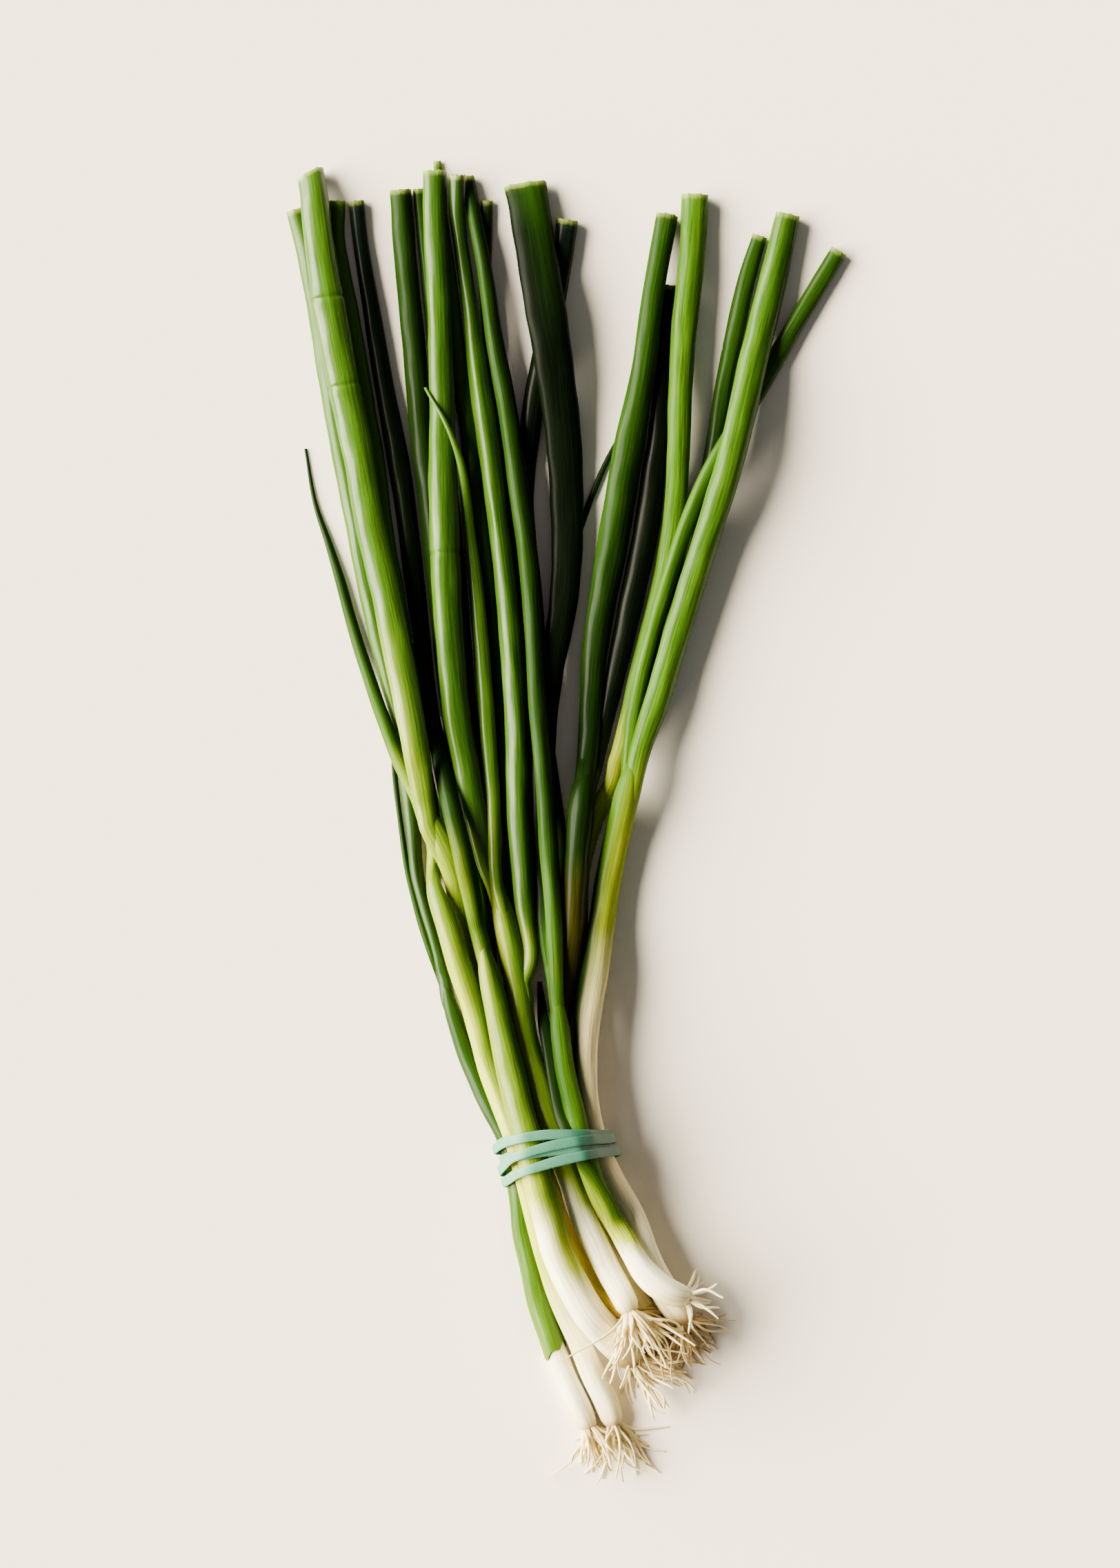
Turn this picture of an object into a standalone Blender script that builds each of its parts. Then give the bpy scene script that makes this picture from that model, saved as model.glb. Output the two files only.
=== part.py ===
"""A bunch of nine scallions held by a rubber band, lying on a flat surface.

Each scallion is one solid: a shank that swells to a bulb, the hollow leaves that fork from it, and
its tuft of roots. The rubber band is one flat strip wound four times round the shanks.
Lengths are in millimetres here and become metres when the meshes are made. +Z is up, +Y points to
the cut leaf tops, and the origin lies under the middle of the bunch, on the surface.
"""

import math

import bpy
import numpy as np

MM = 0.001

# How the stems and leaves are laid over each other.
LAY_STEP = 3.0
LAY_GAP = 0.6
LAY_ROUNDS = 600
PAIR_ROUNDS = 20
PAIR_ALONG = 4.0
SINK_SHARE = 0.65
LAY_NEAR = 15.0
SINK_PER_ROUND = 0.1
HOLD_IN_PLAN = 0.14
PLAN_SHARE = 0.22
LOOSE_HOLD = 0.02
LOOSE_SHARE = 0.8
LOOSE_PLANTS = ("scallion_6", "scallion_8", "scallion_9")
LOOSE_BELOW = -62.0
START_RISE = 2.0
EASE = 0.5
LATE_EASE = 0.15
PUSH_MOST = 1.5
PUSH_SHARE = 0.35
WRAP_SHARE = 0.8
FORK_RUN = 45.0
HELD_POINTS = 3

# Sections of the solids: a leaf is a flattened tube, a shank is nearly round.
LEAF_SIDES = 8
LEAF_STATION = 26.0
BEND_STATION = 11.0
SHANK_SIDES = 10
SHANK_FLAT = 0.96
SHANK_STATION = 15.0
LEAF_WALL = 0.8
HOLLOW_DEPTH = 8.0

# The rubber band: where it sits, the way the bunch runs there, and its strip.
BAND_CENTRE = np.array([-4.3, -92.0])
BUNCH_WAY = np.array([-0.27, 0.963])
BAND_TURNS = 4
BAND_STATIONS = 144
BAND_WIDTH = 2.7
BAND_THICK = 0.6
BAND_SPREAD = 3.8
BAND_LAYER = 0.62
BAND_ROOM = 0.42
BAND_LIFT = 3.0
BAND_REACH = 10.0
BAND_RISE = 1.8
BAND_SLICES = 11
BAND_ANGLES = 181
LOOP_STEPS = 1441
BAND_MIDDLE = 11.0
BAND_ARCH = 2.4
BAND_SLANT = 1.6
BAND_BACK = 0.8
BAND_UNEVEN = 0.3
BAND_PHASE = -0.58

# The lowest vertices are flattened at this height, so that the bunch rests on small flat spots.
SURFACE = 0.3
FLAT_STEP = 0.02
CREASE = 50.0

LEAF_GREEN = (0.13, 0.3, 0.05)
BAND_TEAL = (0.12, 0.42, 0.33)

# Roots: thin pegs that spread from the root plate under each bulb.
ROOTS_EACH = 11
ROOT_TRIES = 400
ROOT_THICK = 1.1
ROOT_TIP = 0.75
ROOT_SIDES = 3
ROOT_LENGTHS = (7.0, 11.5)
ROOT_DROOPS = (0.1, 0.5)
ROOT_START = 0.62
ROOT_SPREAD = 0.85
ROOT_ROOM = 0.35
ROOT_APART = 0.7
ROOT_CHECKS = 9
ROOT_STEPS = 3
ROOT_SINK = 1.6
ROOT_SEED = 11
ROOT_CLEAR = 0.15

# Each row of a route is x, y, height and width, from the roots towards the leaf tops. A leaf row
# starts with how it ends, cut or pointed, and how flat it is.
SCALLIONS = {
    "scallion_1": {
        "shank": [(5.1, -169.5, 3, 5.0), (3.6, -165, 3, 6.0), (1.4, -160, 3.1, 6.2), (-0.9, -155, 3.2, 6.0),
                  (-4.8, -145, 3.5, 5.8), (-8, -135, 4, 5.8), (-10.3, -125, 4.5, 5.8), (-12.4, -115, 5, 5.6),
                  (-13.6, -105, 5.5, 5.4), (-15.1, -95, 6, 5.2), (-17.6, -88, 6, 5), (-22, -80, 6, 5),
                  (-26.5, -70, 5.5, 5), (-30.3, -60, 5, 5), (-33.8, -50, 4.5, 5.2), (-36, -43, 4, 3)],
        "leaves": [
            ("pointed", 0.85, [(-34.5, -48, 2.5, 3.2), (-37.9, -40, 2, 2.4), (-40.9, -30, 2, 2.2),
                               (-43.9, -15, 2, 1.8), (-46.4, 0, 2, 1.5), (-48.4, 15, 1.5, 1.3),
                               (-49, 20, 1.5, 0.8)]),
            ("cut", 0.8, [(-34, -50, 4, 4.5), (-36, -40, 3.5, 3.6), (-38, -30, 3, 3.5), (-39.7, -20, 3, 3.6),
                          (-40.8, -10, 3, 4), (-41.5, 0, 3, 4.5), (-43.3, 10, 3, 5), (-47.3, 30, 3, 5.8),
                          (-52.3, 50, 3, 6), (-57, 70, 3, 6), (-61.2, 90, 3, 6), (-65, 110, 3, 6),
                          (-68.2, 130, 3, 6), (-71.2, 150, 3, 6), (-73.2, 167.5, 3, 5.5)]),
        ],
    },
    "scallion_2": {
        "shank": [(11.8, -168.5, 3.3, 5), (10.6, -165, 3.4, 6.4), (8.5, -160, 3.5, 6.8), (6, -155, 3.6, 6.8),
                  (2, -145, 3.6, 6.4), (-2.5, -135, 3.8, 6.4), (-6.8, -122, 5, 6.4), (-9.2, -112, 6, 6.4),
                  (-12, -100, 7.5, 6.3), (-14.5, -91, 8.5, 6.2), (-18.8, -80, 8, 6.2), (-22.4, -70, 7, 6.4),
                  (-24.5, -60, 8.5, 6.5), (-26.5, -50, 9.5, 6.6), (-29.5, -40, 10, 6.8), (-32.8, -30, 9.5, 6.2),
                  (-36, -20, 7, 5.8), (-38, -10, 3, 4)],
        "leaves": [
            ("cut", 0.8, [(-36.8, -16, 3.2, 4.8), (-39.4, -2, 3.2, 5.2), (-40.6, 8, 3.4, 5.4), (-41.6, 18, 4, 5.6),
                          (-44.6, 38, 5, 5.8), (-48, 58, 7, 5.8), (-51.6, 78, 7, 5.9), (-54.4, 98, 7, 6),
                          (-57.8, 118, 7, 6), (-61.2, 138, 6.5, 5.6), (-63, 148, 6, 5), (-64.6, 158, 5.5, 4.4),
                          (-64.8, 169, 5, 5.2)]),
        ],
    },
    "scallion_3": {
        "shank": [(17.6, -150.6, 9, 6.5), (15.4, -147.6, 9, 9), (13.2, -145, 9, 9.5), (9.2, -140, 9.2, 9.4),
                  (5.5, -135, 9.5, 9.3), (2.1, -130, 10, 9.2), (-3.3, -120, 11, 9), (-6.5, -110, 12, 8.6),
                  (-9.6, -100, 13, 8.2), (-12, -90, 13.4, 8), (-14.6, -80, 13, 8), (-17, -70, 12.5, 8),
                  (-19.5, -60, 13, 7.2), (-21.9, -50, 13, 6.6), (-23.9, -40, 13.5, 6.4), (-26, -30, 14, 4)],
        "leaves": [
            ("cut", 0.8, [(-24.6, -37, 13.5, 5.4), (-27.2, -25, 14.5, 5.4), (-31, -10, 15.5, 5.8),
                          (-33.7, 0, 15, 5.4), (-37.3, 20, 11, 4.8), (-40.2, 40, 5, 4.8), (-42.6, 60, 3, 5.4),
                          (-45.2, 80, 3, 5.8), (-48.4, 100, 3, 6), (-52.2, 120, 3, 5.4), (-55.3, 140, 3, 4.9),
                          (-58.4, 160, 3, 4.2), (-59.3, 169, 3, 4.5)]),
            ("cut", 0.8, [(-22.8, -41, 10, 4), (-24.8, -28, 8.5, 4), (-27.2, -12, 6, 4), (-29.5, 0, 5, 4.5),
                          (-31.5, 10, 4.5, 5), (-34.2, 30, 4, 5.5), (-36, 50, 4, 6), (-37.3, 70, 4, 6.4),
                          (-39.2, 90, 4, 6.4), (-41.6, 110, 4, 6.4), (-43.5, 130, 4, 6.4),
                          (-45.3, 150, 4, 6.4), (-46.9, 172, 4, 6.2)]),
            ("cut", 0.8, [(-22.4, -44, 9, 3.6), (-24, -20, 4, 3.6), (-26.5, 0, 3, 4), (-29, 30, 3, 4),
                          (-32, 70, 3, 4.2), (-35.5, 110, 3, 4.2), (-38.8, 142, 3, 4), (-41, 160, 3.4, 3.4),
                          (-42.5, 172.3, 3.4, 3)]),
        ],
    },
    "scallion_4": {
        "shank": [(16.4, -136.8, 12, 5), (15.5, -134.5, 12, 6.2), (13.3, -130, 12, 6.8), (10.7, -125, 12, 7),
                  (6.2, -115, 12.2, 7.1), (2.3, -105, 12.8, 7), (-2, -95, 13, 6.8), (-5.4, -85, 13, 6.6),
                  (-9.8, -70, 12, 6.5), (-12.3, -60, 12, 6.7), (-14.3, -50, 12, 7.2), (-16.3, -42, 12, 7.2),
                  (-18.4, -33, 12, 6.8), (-20.6, -23, 12, 6.8), (-22.4, -14, 12, 4.4)],
        "leaves": [
            ("cut", 0.78, [(-21.4, -20, 12, 5.6), (-25.3, -8, 13, 6), (-27.4, 0, 13, 6.6), (-29.8, 10, 13, 7),
                           (-31.3, 20, 13, 7.3), (-33, 40, 13, 7.6), (-34.3, 60, 13, 8), (-34.8, 80, 13, 8.2),
                           (-35.2, 100, 12, 7.4), (-36, 120, 11, 6.8), (-36.4, 140, 10, 6.6),
                           (-37.2, 160, 9, 6.5), (-37.3, 177, 8, 6.5)]),
            ("pointed", 0.85, [(-21, -20, 14, 4), (-21.3, -8, 16, 3.9), (-21.6, 4, 17, 4.2), (-22.7, 20, 18, 4.6),
                               (-24.2, 40, 18, 4.6), (-25.9, 60, 18, 4.2), (-28.7, 80, 18, 3.4),
                               (-32.1, 100, 18, 1.9), (-35.9, 110, 17.5, 1.2), (-40, 117.3, 17, 0.8)]),
            ("cut", 0.8, [(-15.6, -46, 13, 5), (-13.2, -38, 13, 5), (-12.6, -30, 13, 5.2), (-12.4, -20, 13, 6),
                          (-13, 0, 13, 6.6), (-14.3, 20, 13, 6.8), (-15.9, 40, 13, 6.4), (-17.6, 60, 12, 6.2),
                          (-20, 80, 12, 5.8), (-22.4, 100, 11, 6.4), (-25.6, 120, 10, 6), (-28.2, 140, 9, 4.4),
                          (-30.6, 160, 7.5, 4.2), (-31.9, 176, 7, 4.6)]),
            ("cut", 0.8, [(-17.4, -37, 10, 4), (-17.4, -20, 6, 4.4), (-18.4, 0, 4.5, 4.6), (-20.4, 30, 4, 4.6),
                          (-23, 60, 4, 4.8), (-26, 85, 4, 5), (-28, 105, 4.5, 5), (-30.5, 125, 5, 4.6),
                          (-32.8, 147, 5, 3.4), (-35, 163, 4.5, 2.4), (-37.1, 180, 4, 2.2)]),
        ],
    },
    "scallion_5": {
        "shank": [(31.8, -131.7, 14, 5.2), (29, -131.3, 14, 6.6), (25.5, -130, 14, 7.4), (22.2, -127.8, 13.5, 7.4),
                  (19.4, -124.6, 13, 7), (17.2, -120.5, 12.5, 6.4), (12, -110, 11.5, 6), (6.4, -99, 10.8, 6),
                  (1.8, -87.5, 10.8, 5.8), (-1.6, -73, 10, 5.4), (-3.5, -56, 10, 5.3), (-4.3, -42, 10, 3.6)],
        "leaves": [
            ("cut", 0.8, [(-4, -49, 10.3, 4.4), (-4.2, -38, 10.3, 4.6), (-4.6, -26, 10, 4.8), (-6, -10, 10, 5.4),
                          (-7.4, 10, 9.5, 5), (-9.1, 30, 9, 5), (-10.3, 50, 9, 5), (-11.8, 70, 9, 5.6),
                          (-14.7, 90, 8.5, 5.5), (-17.5, 110, 8, 5.5), (-21.2, 130, 7.5, 5),
                          (-24.2, 150, 7, 4.2), (-27.8, 167, 6.5, 4), (-29.3, 175.5, 6.5, 4)]),
            ("cut", 0.5, [(-4.6, -46, 8.5, 4), (-6.6, -30, 6.5, 4.5), (-7.8, -12, 6, 5), (-8, 8, 6, 5.8),
                          (-7.6, 28, 5.5, 6.5), (-6.2, 40, 5.5, 7), (-4, 50, 5, 7.2), (-2.2, 60, 5, 7.7),
                          (-1.1, 78, 5, 8.8), (-2, 98, 5, 9.6), (-4.5, 120, 5, 10.4), (-7.4, 141, 5, 11.2),
                          (-10.4, 160, 4.5, 11), (-12.7, 173.5, 4, 11.4)]),
            ("pointed", 0.8, [(-5.4, -44, 7.5, 2.4), (-7.4, -20, 3.5, 2.4), (-7.4, 10, 2, 2.2),
                              (-4.6, 45, 1.6, 2), (-1.2, 67, 1.6, 2), (2.6, 80, 2, 1.8), (6, 89, 2.5, 1.7),
                              (10, 98, 2.5, 1.5), (14.5, 105.5, 2.5, 1.3), (20, 112, 2.5, 0.8)]),
            ("cut", 0.8, [(-5.2, -46, 8.5, 3), (-9, -20, 3.5, 3.4), (-12, 10, 3, 3.8), (-15, 50, 3, 4),
                          (-18.5, 90, 3, 4), (-22, 125, 3, 4), (-24.6, 150, 3, 3.6), (-25.8, 169, 3, 3.4)]),
        ],
        "wraps": [
            ("pointed", 0.4, [(12.9, -112, 14.5, 6), (11.4, -107.5, 14.6, 4.6), (7.5, -100, 14.2, 3.6),
                              (4, -94, 14, 3.4), (1.3, -88, 14, 3.3), (-0.9, -82, 13.6, 3.4),
                              (-3.7, -71, 13, 3.5), (-5.4, -62, 12.4, 3.4), (-6.9, -54, 12, 2.8),
                              (-8.8, -46, 11.4, 1.2)]),
        ],
    },
    "scallion_6": {
        "shank": [(15.8, -140.5, 5, 5), (13.6, -137.3, 5, 7), (11.2, -133.3, 5, 7.4), (8.6, -129, 5, 7.3),
                  (3.3, -120, 5, 7), (-0.2, -110, 5, 6.9), (-3.6, -100, 5.4, 6.7), (-7.2, -90, 5.6, 6.7),
                  (-11, -80, 5, 6.7), (-14.3, -70, 5, 6.7), (-17.4, -60, 4, 6.7), (-20.5, -50, 4, 6.7),
                  (-23.8, -40, 4, 6.6), (-27.4, -30, 4.5, 6.6), (-31.4, -20, 6, 6.7), (-35.1, -10, 10, 6.9),
                  (-38.7, 0, 11, 6.8), (-40.6, 6, 11.5, 4.4)],
        "leaves": [
            ("cut", 0.8, [(-39.2, -3, 11.5, 6), (-42.8, 20, 11.5, 7.5), (-46.6, 40, 11.5, 8), (-50.7, 60, 11, 8.1),
                          (-55.2, 80, 11, 8.3), (-58.7, 100, 10.5, 8.5), (-63, 120, 10, 9), (-66.8, 140, 9, 8.9),
                          (-70, 160, 8, 8), (-71.8, 176, 7.5, 7.6)]),
            ("pointed", 0.85, [(-40.4, -2, 11, 3.6), (-43.2, 7, 10, 3.8), (-46.6, 15, 9, 4.1), (-50.3, 25, 8, 4),
                               (-54.1, 35, 7, 3.7), (-57.8, 45, 6, 3.5), (-61, 55, 5.5, 3.2), (-63.8, 65, 5, 2.8),
                               (-67, 75, 4.5, 2.1), (-70.4, 85, 4, 1.4), (-73.3, 101, 3.5, 0.8)]),
        ],
    },
    "scallion_7": {
        "shank": [(31.2, -139.2, 4, 5), (29.5, -136.5, 4, 7.2), (27, -133, 4, 8), (23.8, -128.5, 4.2, 7.6),
                  (18.5, -119.5, 5.2, 7), (13.4, -109.5, 6.8, 6.9), (8.7, -99.5, 8, 6.8), (5, -89, 8.5, 6.6),
                  (3, -78, 8.3, 6.6), (2.6, -70, 8, 6.8), (2.8, -60, 8, 7.2), (5, -40, 8, 7.6),
                  (7, -30, 8, 7.2), (9, -20, 8.5, 7.2), (13.3, 0, 9.5, 7.2), (15.4, 11, 10.2, 7.6),
                  (17.2, 19, 10.4, 4.6)],
        "leaves": [
            ("cut", 0.8, [(16.4, 9, 10.6, 5.5), (19.2, 20, 11, 6.5), (22.4, 29, 12, 6.8), (25.6, 39.5, 12, 7.2),
                          (28.5, 50, 12, 7.4), (34.6, 70, 12, 7.3), (40.8, 90, 11.5, 7.6), (45.9, 108, 11, 7.9),
                          (50.6, 127, 10, 8), (55.3, 147, 9, 7.6), (59.6, 165.2, 8, 6.7)]),
            ("cut", 0.8, [(14.4, 10, 9.8, 3.6), (16.4, 25, 9, 3.9), (19.6, 40, 8.5, 4), (25.4, 60, 8, 4.2),
                          (31.8, 80, 8, 4.5), (39.6, 97.5, 7.5, 4.8), (48.4, 112.5, 6.5, 4.8),
                          (56, 126, 5.5, 5.2), (61.3, 135, 5, 4.8), (67.4, 145, 4, 4.8), (73.5, 155.2, 4, 4.8)]),
        ],
    },
    "scallion_8": {
        "shank": [(23, -146.5, 4, 5.4), (20.6, -142, 4, 7.2), (16.8, -135, 4, 7), (10.5, -122, 4.2, 6.6),
                  (4.4, -108, 5, 6.4), (-0.6, -95, 6, 6.2), (-3.2, -80, 6, 6.2), (-2.8, -60, 5.5, 6.2),
                  (-1.2, -42, 5.5, 6.3), (0, -30, 6, 6.4), (1.7, -10, 7, 6.8), (2.9, 0, 8, 7.4),
                  (4.2, 10, 8.5, 7.6), (5.6, 18, 9, 5)],
        "leaves": [
            ("cut", 0.8, [(3.8, 9, 9, 6), (4.9, 22, 9.5, 6.4), (6.2, 40, 10, 6.8), (9.2, 60, 10, 7.8),
                          (12.7, 80, 10, 8.6), (16.2, 100, 9.5, 8.4), (19.8, 120, 9, 7), (22.5, 140, 8, 6.2),
                          (26.4, 165, 7, 6)]),
            ("cut", 0.8, [(5.4, 8, 8.4, 4.6), (8.2, 21, 7, 4.8), (12.4, 40, 6, 5.6), (16.7, 60, 5, 6.8),
                          (21, 80, 4.5, 7), (23.6, 100, 4, 6.6), (24.8, 120, 4, 5.8), (26.4, 146, 4, 5)]),
            ("cut", 0.8, [(-1.6, -26, 5.5, 4), (-5, -8, 3.4, 4.4), (-7.6, 20, 3, 4.8), (-10.2, 57, 3, 4.9),
                          (-13.4, 88, 3, 5.4), (-11.4, 106, 3, 5.8), (-7.8, 126, 3, 5.9), (-4.2, 146, 3, 6),
                          (-1.1, 163.7, 3, 6)]),
        ],
    },
    "scallion_9": {
        "shank": [(27.6, -143.2, 4, 5), (25, -138.5, 4, 7), (21.5, -132.5, 4, 6.8), (14.6, -119, 4, 6.4),
                  (8.4, -105, 4.6, 6.2), (2.8, -92, 5.4, 6), (1.5, -75, 5, 6), (0.6, -50, 3.6, 6),
                  (1, -30, 3.2, 6), (1.6, -15, 3.2, 6), (4.6, -2, 3.6, 6.2), (8.6, 8, 4, 6.4), (11.4, 15, 4.2, 4.4)],
        "leaves": [
            ("cut", 0.8, [(9.4, 9, 4.6, 4.8), (13.5, 20, 5.4, 5), (19.5, 40, 6, 5.6), (25, 60, 6.5, 6),
                          (27.8, 80, 7, 6.2), (28.5, 100, 7, 6.3), (29.6, 120, 7, 6.7), (31, 140, 6.5, 7.2),
                          (33.2, 160, 6, 7.3), (34, 170.6, 6, 7.4)]),
            ("cut", 0.8, [(10.8, 8, 3.6, 4), (16, 20, 2.8, 4.2), (21.6, 36, 2.5, 4.4), (28, 57, 2.5, 4.6),
                          (34.8, 80, 2.5, 4.8), (39.5, 100, 2.5, 5), (42.5, 120, 2.5, 5), (44.5, 130, 2.5, 5.2),
                          (49.2, 150, 2.5, 4.7), (52.3, 159.2, 2.5, 4.2)]),
        ],
    },
}


def smooth_rows(rows, step):
    """Rows carried through a cubic with the slope of their neighbours at each, every step mm or so."""
    rows = np.array(rows, dtype=float)
    run = np.concatenate([[0.0], np.cumsum(np.linalg.norm(np.diff(rows[:, :3], axis=0), axis=1))])
    slope = np.gradient(rows, run, axis=0)
    at = np.linspace(0.0, run[-1], max(3, int(round(run[-1] / step)) + 1))
    k = np.clip(np.searchsorted(run, at, side="right") - 1, 0, len(run) - 2)
    length = (run[k + 1] - run[k])[:, None]
    t = (at - run[k])[:, None] / length
    ease_in = t * t * (3.0 - 2.0 * t)
    lean_start = t * (1.0 - t) ** 2 * length
    lean_end = t * t * (t - 1.0) * length
    return rows[k] * (1.0 - ease_in) + rows[k + 1] * ease_in + slope[k] * lean_start + slope[k + 1] * lean_end


def strands_of(scallions):
    """Every shank, leaf and wrap as a dictionary of points, half widths and half heights, every 3 mm."""
    strands = []
    for plant, parts in scallions.items():
        pieces = [("shank", "open", SHANK_FLAT, parts["shank"])]
        pieces += [("leaf", end, flat, rows) for end, flat, rows in parts["leaves"]]
        pieces += [("wrap", end, flat, rows) for end, flat, rows in parts.get("wraps", [])]
        for kind, end, flat, rows in pieces:
            line = smooth_rows(rows, LAY_STEP)
            strands.append({"plant": plant, "kind": kind, "end": end, "flat": flat,
                            "points": line[:, :3], "half": line[:, 3] / 2.0})
    return strands


def floor_height(points):
    """The surface, with the thickness of the band under the shanks where it goes round them."""
    along = (points[:, :2] - BAND_CENTRE) @ BUNCH_WAY
    near = np.clip(BAND_RISE - np.abs(along) / BAND_REACH, 0.0, 1.0)
    return BAND_LIFT * near * near * (3.0 - 2.0 * near)


def lay(strands):
    """Lets the strands sink and eases them apart until none is in another, near their routes in plan."""
    start = np.concatenate([s["points"] for s in strands])
    half = np.concatenate([s["half"] for s in strands])
    flat = np.concatenate([np.full(len(s["half"]), s["flat"]) for s in strands])
    owner = np.concatenate([np.full(len(s["half"]), i) for i, s in enumerate(strands)])
    plant = np.concatenate([np.full(len(s["half"]), list(SCALLIONS).index(s["plant"])) for s in strands])
    leaf = np.concatenate([np.full(len(s["half"]), s["kind"] == "leaf") for s in strands])
    wrap = np.concatenate([np.full(len(s["half"]), s["kind"] == "wrap") for s in strands])
    run = np.concatenate([np.arange(len(s["half"])) * LAY_STEP for s in strands])
    first = np.concatenate([[0], np.cumsum([len(s["half"]) for s in strands])])
    inner = np.ones(len(half), dtype=bool)
    inner[first[:-1]] = False
    inner[first[1:] - 1] = False
    middle = np.flatnonzero(inner)
    held, holder = fork_holds(start, first, plant, strands)
    rooted = start[held] - start[holder]
    loose = np.concatenate([np.full(len(s["half"]), s["plant"] in LOOSE_PLANTS) for s in strands])
    loose &= start[:, 1] < LOOSE_BELOW
    share = np.where(loose, LOOSE_SHARE, PLAN_SHARE)[:, None]
    hold = np.where(loose, LOOSE_HOLD, HOLD_IN_PLAN)[:, None]
    place = start * np.array([1.0, 1.0, START_RISE])
    for count in range(LAY_ROUNDS):
        if count % PAIR_ROUNDS == 0:
            first_of, second_of = near_pairs(place, owner, plant, leaf, wrap)
            reach = half[first_of] + half[second_of] + LAY_GAP
            kin = plant[first_of] == plant[second_of]
            spread = np.clip((run[first_of] + run[second_of]) / 2.0 / FORK_RUN, 0.0, 1.0)
            stuck = wrap[first_of] | wrap[second_of]
            reach = np.where(kin & stuck, reach * WRAP_SHARE, np.where(kin, reach * spread, reach))
            squash = (half[first_of] * flat[first_of] + half[second_of] * flat[second_of])
            squash = squash / (half[first_of] + half[second_of])
        way = np.zeros_like(place)
        way[middle] = place[middle + 1] - place[middle - 1]
        way[first[:-1]] = place[first[:-1] + 1] - place[first[:-1]]
        way[first[1:] - 1] = place[first[1:] - 1] - place[first[1:] - 2]
        way /= np.linalg.norm(way, axis=1)[:, None]
        late = count > LAY_ROUNDS * SINK_SHARE
        if not late:
            place[:, 2] -= SINK_PER_ROUND
        apart = place[first_of] - place[second_of]
        apart -= np.sum(apart * way[second_of], axis=1)[:, None] * way[second_of]
        apart[:, 2] /= squash
        far = np.linalg.norm(apart, axis=1) + 1e-6
        push = np.clip(reach - far, 0.0, PUSH_MOST) / far * PUSH_SHARE
        move = apart * push[:, None]
        move[:, 2] *= squash
        total = np.zeros_like(place)
        hits = np.zeros(len(place))
        np.add.at(total, first_of, move)
        np.add.at(total, second_of, -move)
        np.add.at(hits, first_of, push > 0)
        np.add.at(hits, second_of, push > 0)
        total[:, :2] *= share
        place += total / np.maximum(hits, 1.0)[:, None] ** 0.5
        off = place - start
        if not late:
            off[:, :2] *= 1.0 - hold
        eased = off.copy()
        eased[middle] = (off[middle - 1] + off[middle + 1]) / 2.0
        off += (EASE if not late else LATE_EASE) * (eased - off)
        place = start + off
        place[:, 2] = np.maximum(place[:, 2], floor_height(place) + half * flat)
        place[held] = place[holder] + rooted
    for i, s in enumerate(strands):
        s["points"] = place[first[i]:first[i + 1]]
    return strands


def fork_holds(start, first, plant, strands):
    """The first points of each leaf and wrap, and the points of its own shank that carry them."""
    held, holder = [], []
    for i, s in enumerate(strands):
        if s["kind"] == "shank":
            trunk = np.arange(first[i], first[i + 1])
        else:
            for k in range(first[i], first[i] + HELD_POINTS):
                held.append(k)
                holder.append(trunk[np.argmin(np.linalg.norm(start[trunk] - start[k], axis=1))])
    return np.array(held), np.array(holder)


def near_pairs(place, owner, plant, leaf, wrap):
    """Pairs of points close enough to meet: of different plants, two leaves, or a wrap and its shank."""
    gap = np.abs(place[:, None, 1] - place[None, :, 1]) < PAIR_ALONG
    gap &= np.abs(place[:, None, 0] - place[None, :, 0]) < LAY_NEAR
    gap &= owner[:, None] < owner[None, :]
    kin = plant[:, None] == plant[None, :]
    both = leaf[:, None] & leaf[None, :]
    some = wrap[:, None] | wrap[None, :]
    first_of, second_of = np.nonzero(gap & (~kin | both | some))
    return np.concatenate([first_of, second_of]), np.concatenate([second_of, first_of])


def frames(points):
    """The way a line runs at each point, and the level and upright directions across it."""
    way = np.gradient(points, axis=0)
    way /= np.linalg.norm(way, axis=1)[:, None]
    level = np.cross(way, np.array([0.0, 0.0, 1.0]))
    level /= np.linalg.norm(level, axis=1)[:, None]
    return way, level, np.cross(level, way)


def resample(strand, straight, bend):
    """A strand's points and half widths, a station for each straight run in mm and each bend in degrees."""
    points = strand["points"]
    legs = np.diff(points, axis=0)
    length = np.linalg.norm(legs, axis=1)
    legs /= length[:, None]
    turned = np.degrees(np.arccos(np.clip(np.sum(legs[1:] * legs[:-1], axis=1), -1.0, 1.0)))
    turned = np.concatenate([[0.0], turned]) + np.concatenate([turned, [0.0]])
    run = np.concatenate([[0.0], np.cumsum(length / straight + turned / 2.0 / bend)])
    at = np.linspace(0.0, run[-1], max(4, int(round(run[-1])) + 1))
    line = np.stack([np.interp(at, run, points[:, axis]) for axis in range(3)], axis=1)
    return line, np.interp(at, run, strand["half"])


def ring_mesh(name, rings, ends_closed=True):
    """A closed skin through rings of equal count, each an array of points, with a face on both ends."""
    sides = len(rings[0])
    corners = np.concatenate(rings) * MM
    faces = []
    for ring in range(len(rings) - 1):
        for side in range(sides):
            after = (side + 1) % sides
            faces.append((ring * sides + side, ring * sides + after,
                          (ring + 1) * sides + after, (ring + 1) * sides + side))
    if ends_closed:
        faces.append(tuple(reversed(range(sides))))
        faces.append(tuple((len(rings) - 1) * sides + side for side in range(sides)))
    else:
        last = (len(rings) - 1) * sides
        for side in range(sides):
            after = (side + 1) % sides
            faces.append((last + side, last + after, after, side))
    mesh = bpy.data.meshes.new(name)
    mesh.from_pydata(corners.tolist(), [], faces)
    mesh.validate()
    return mesh


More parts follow.
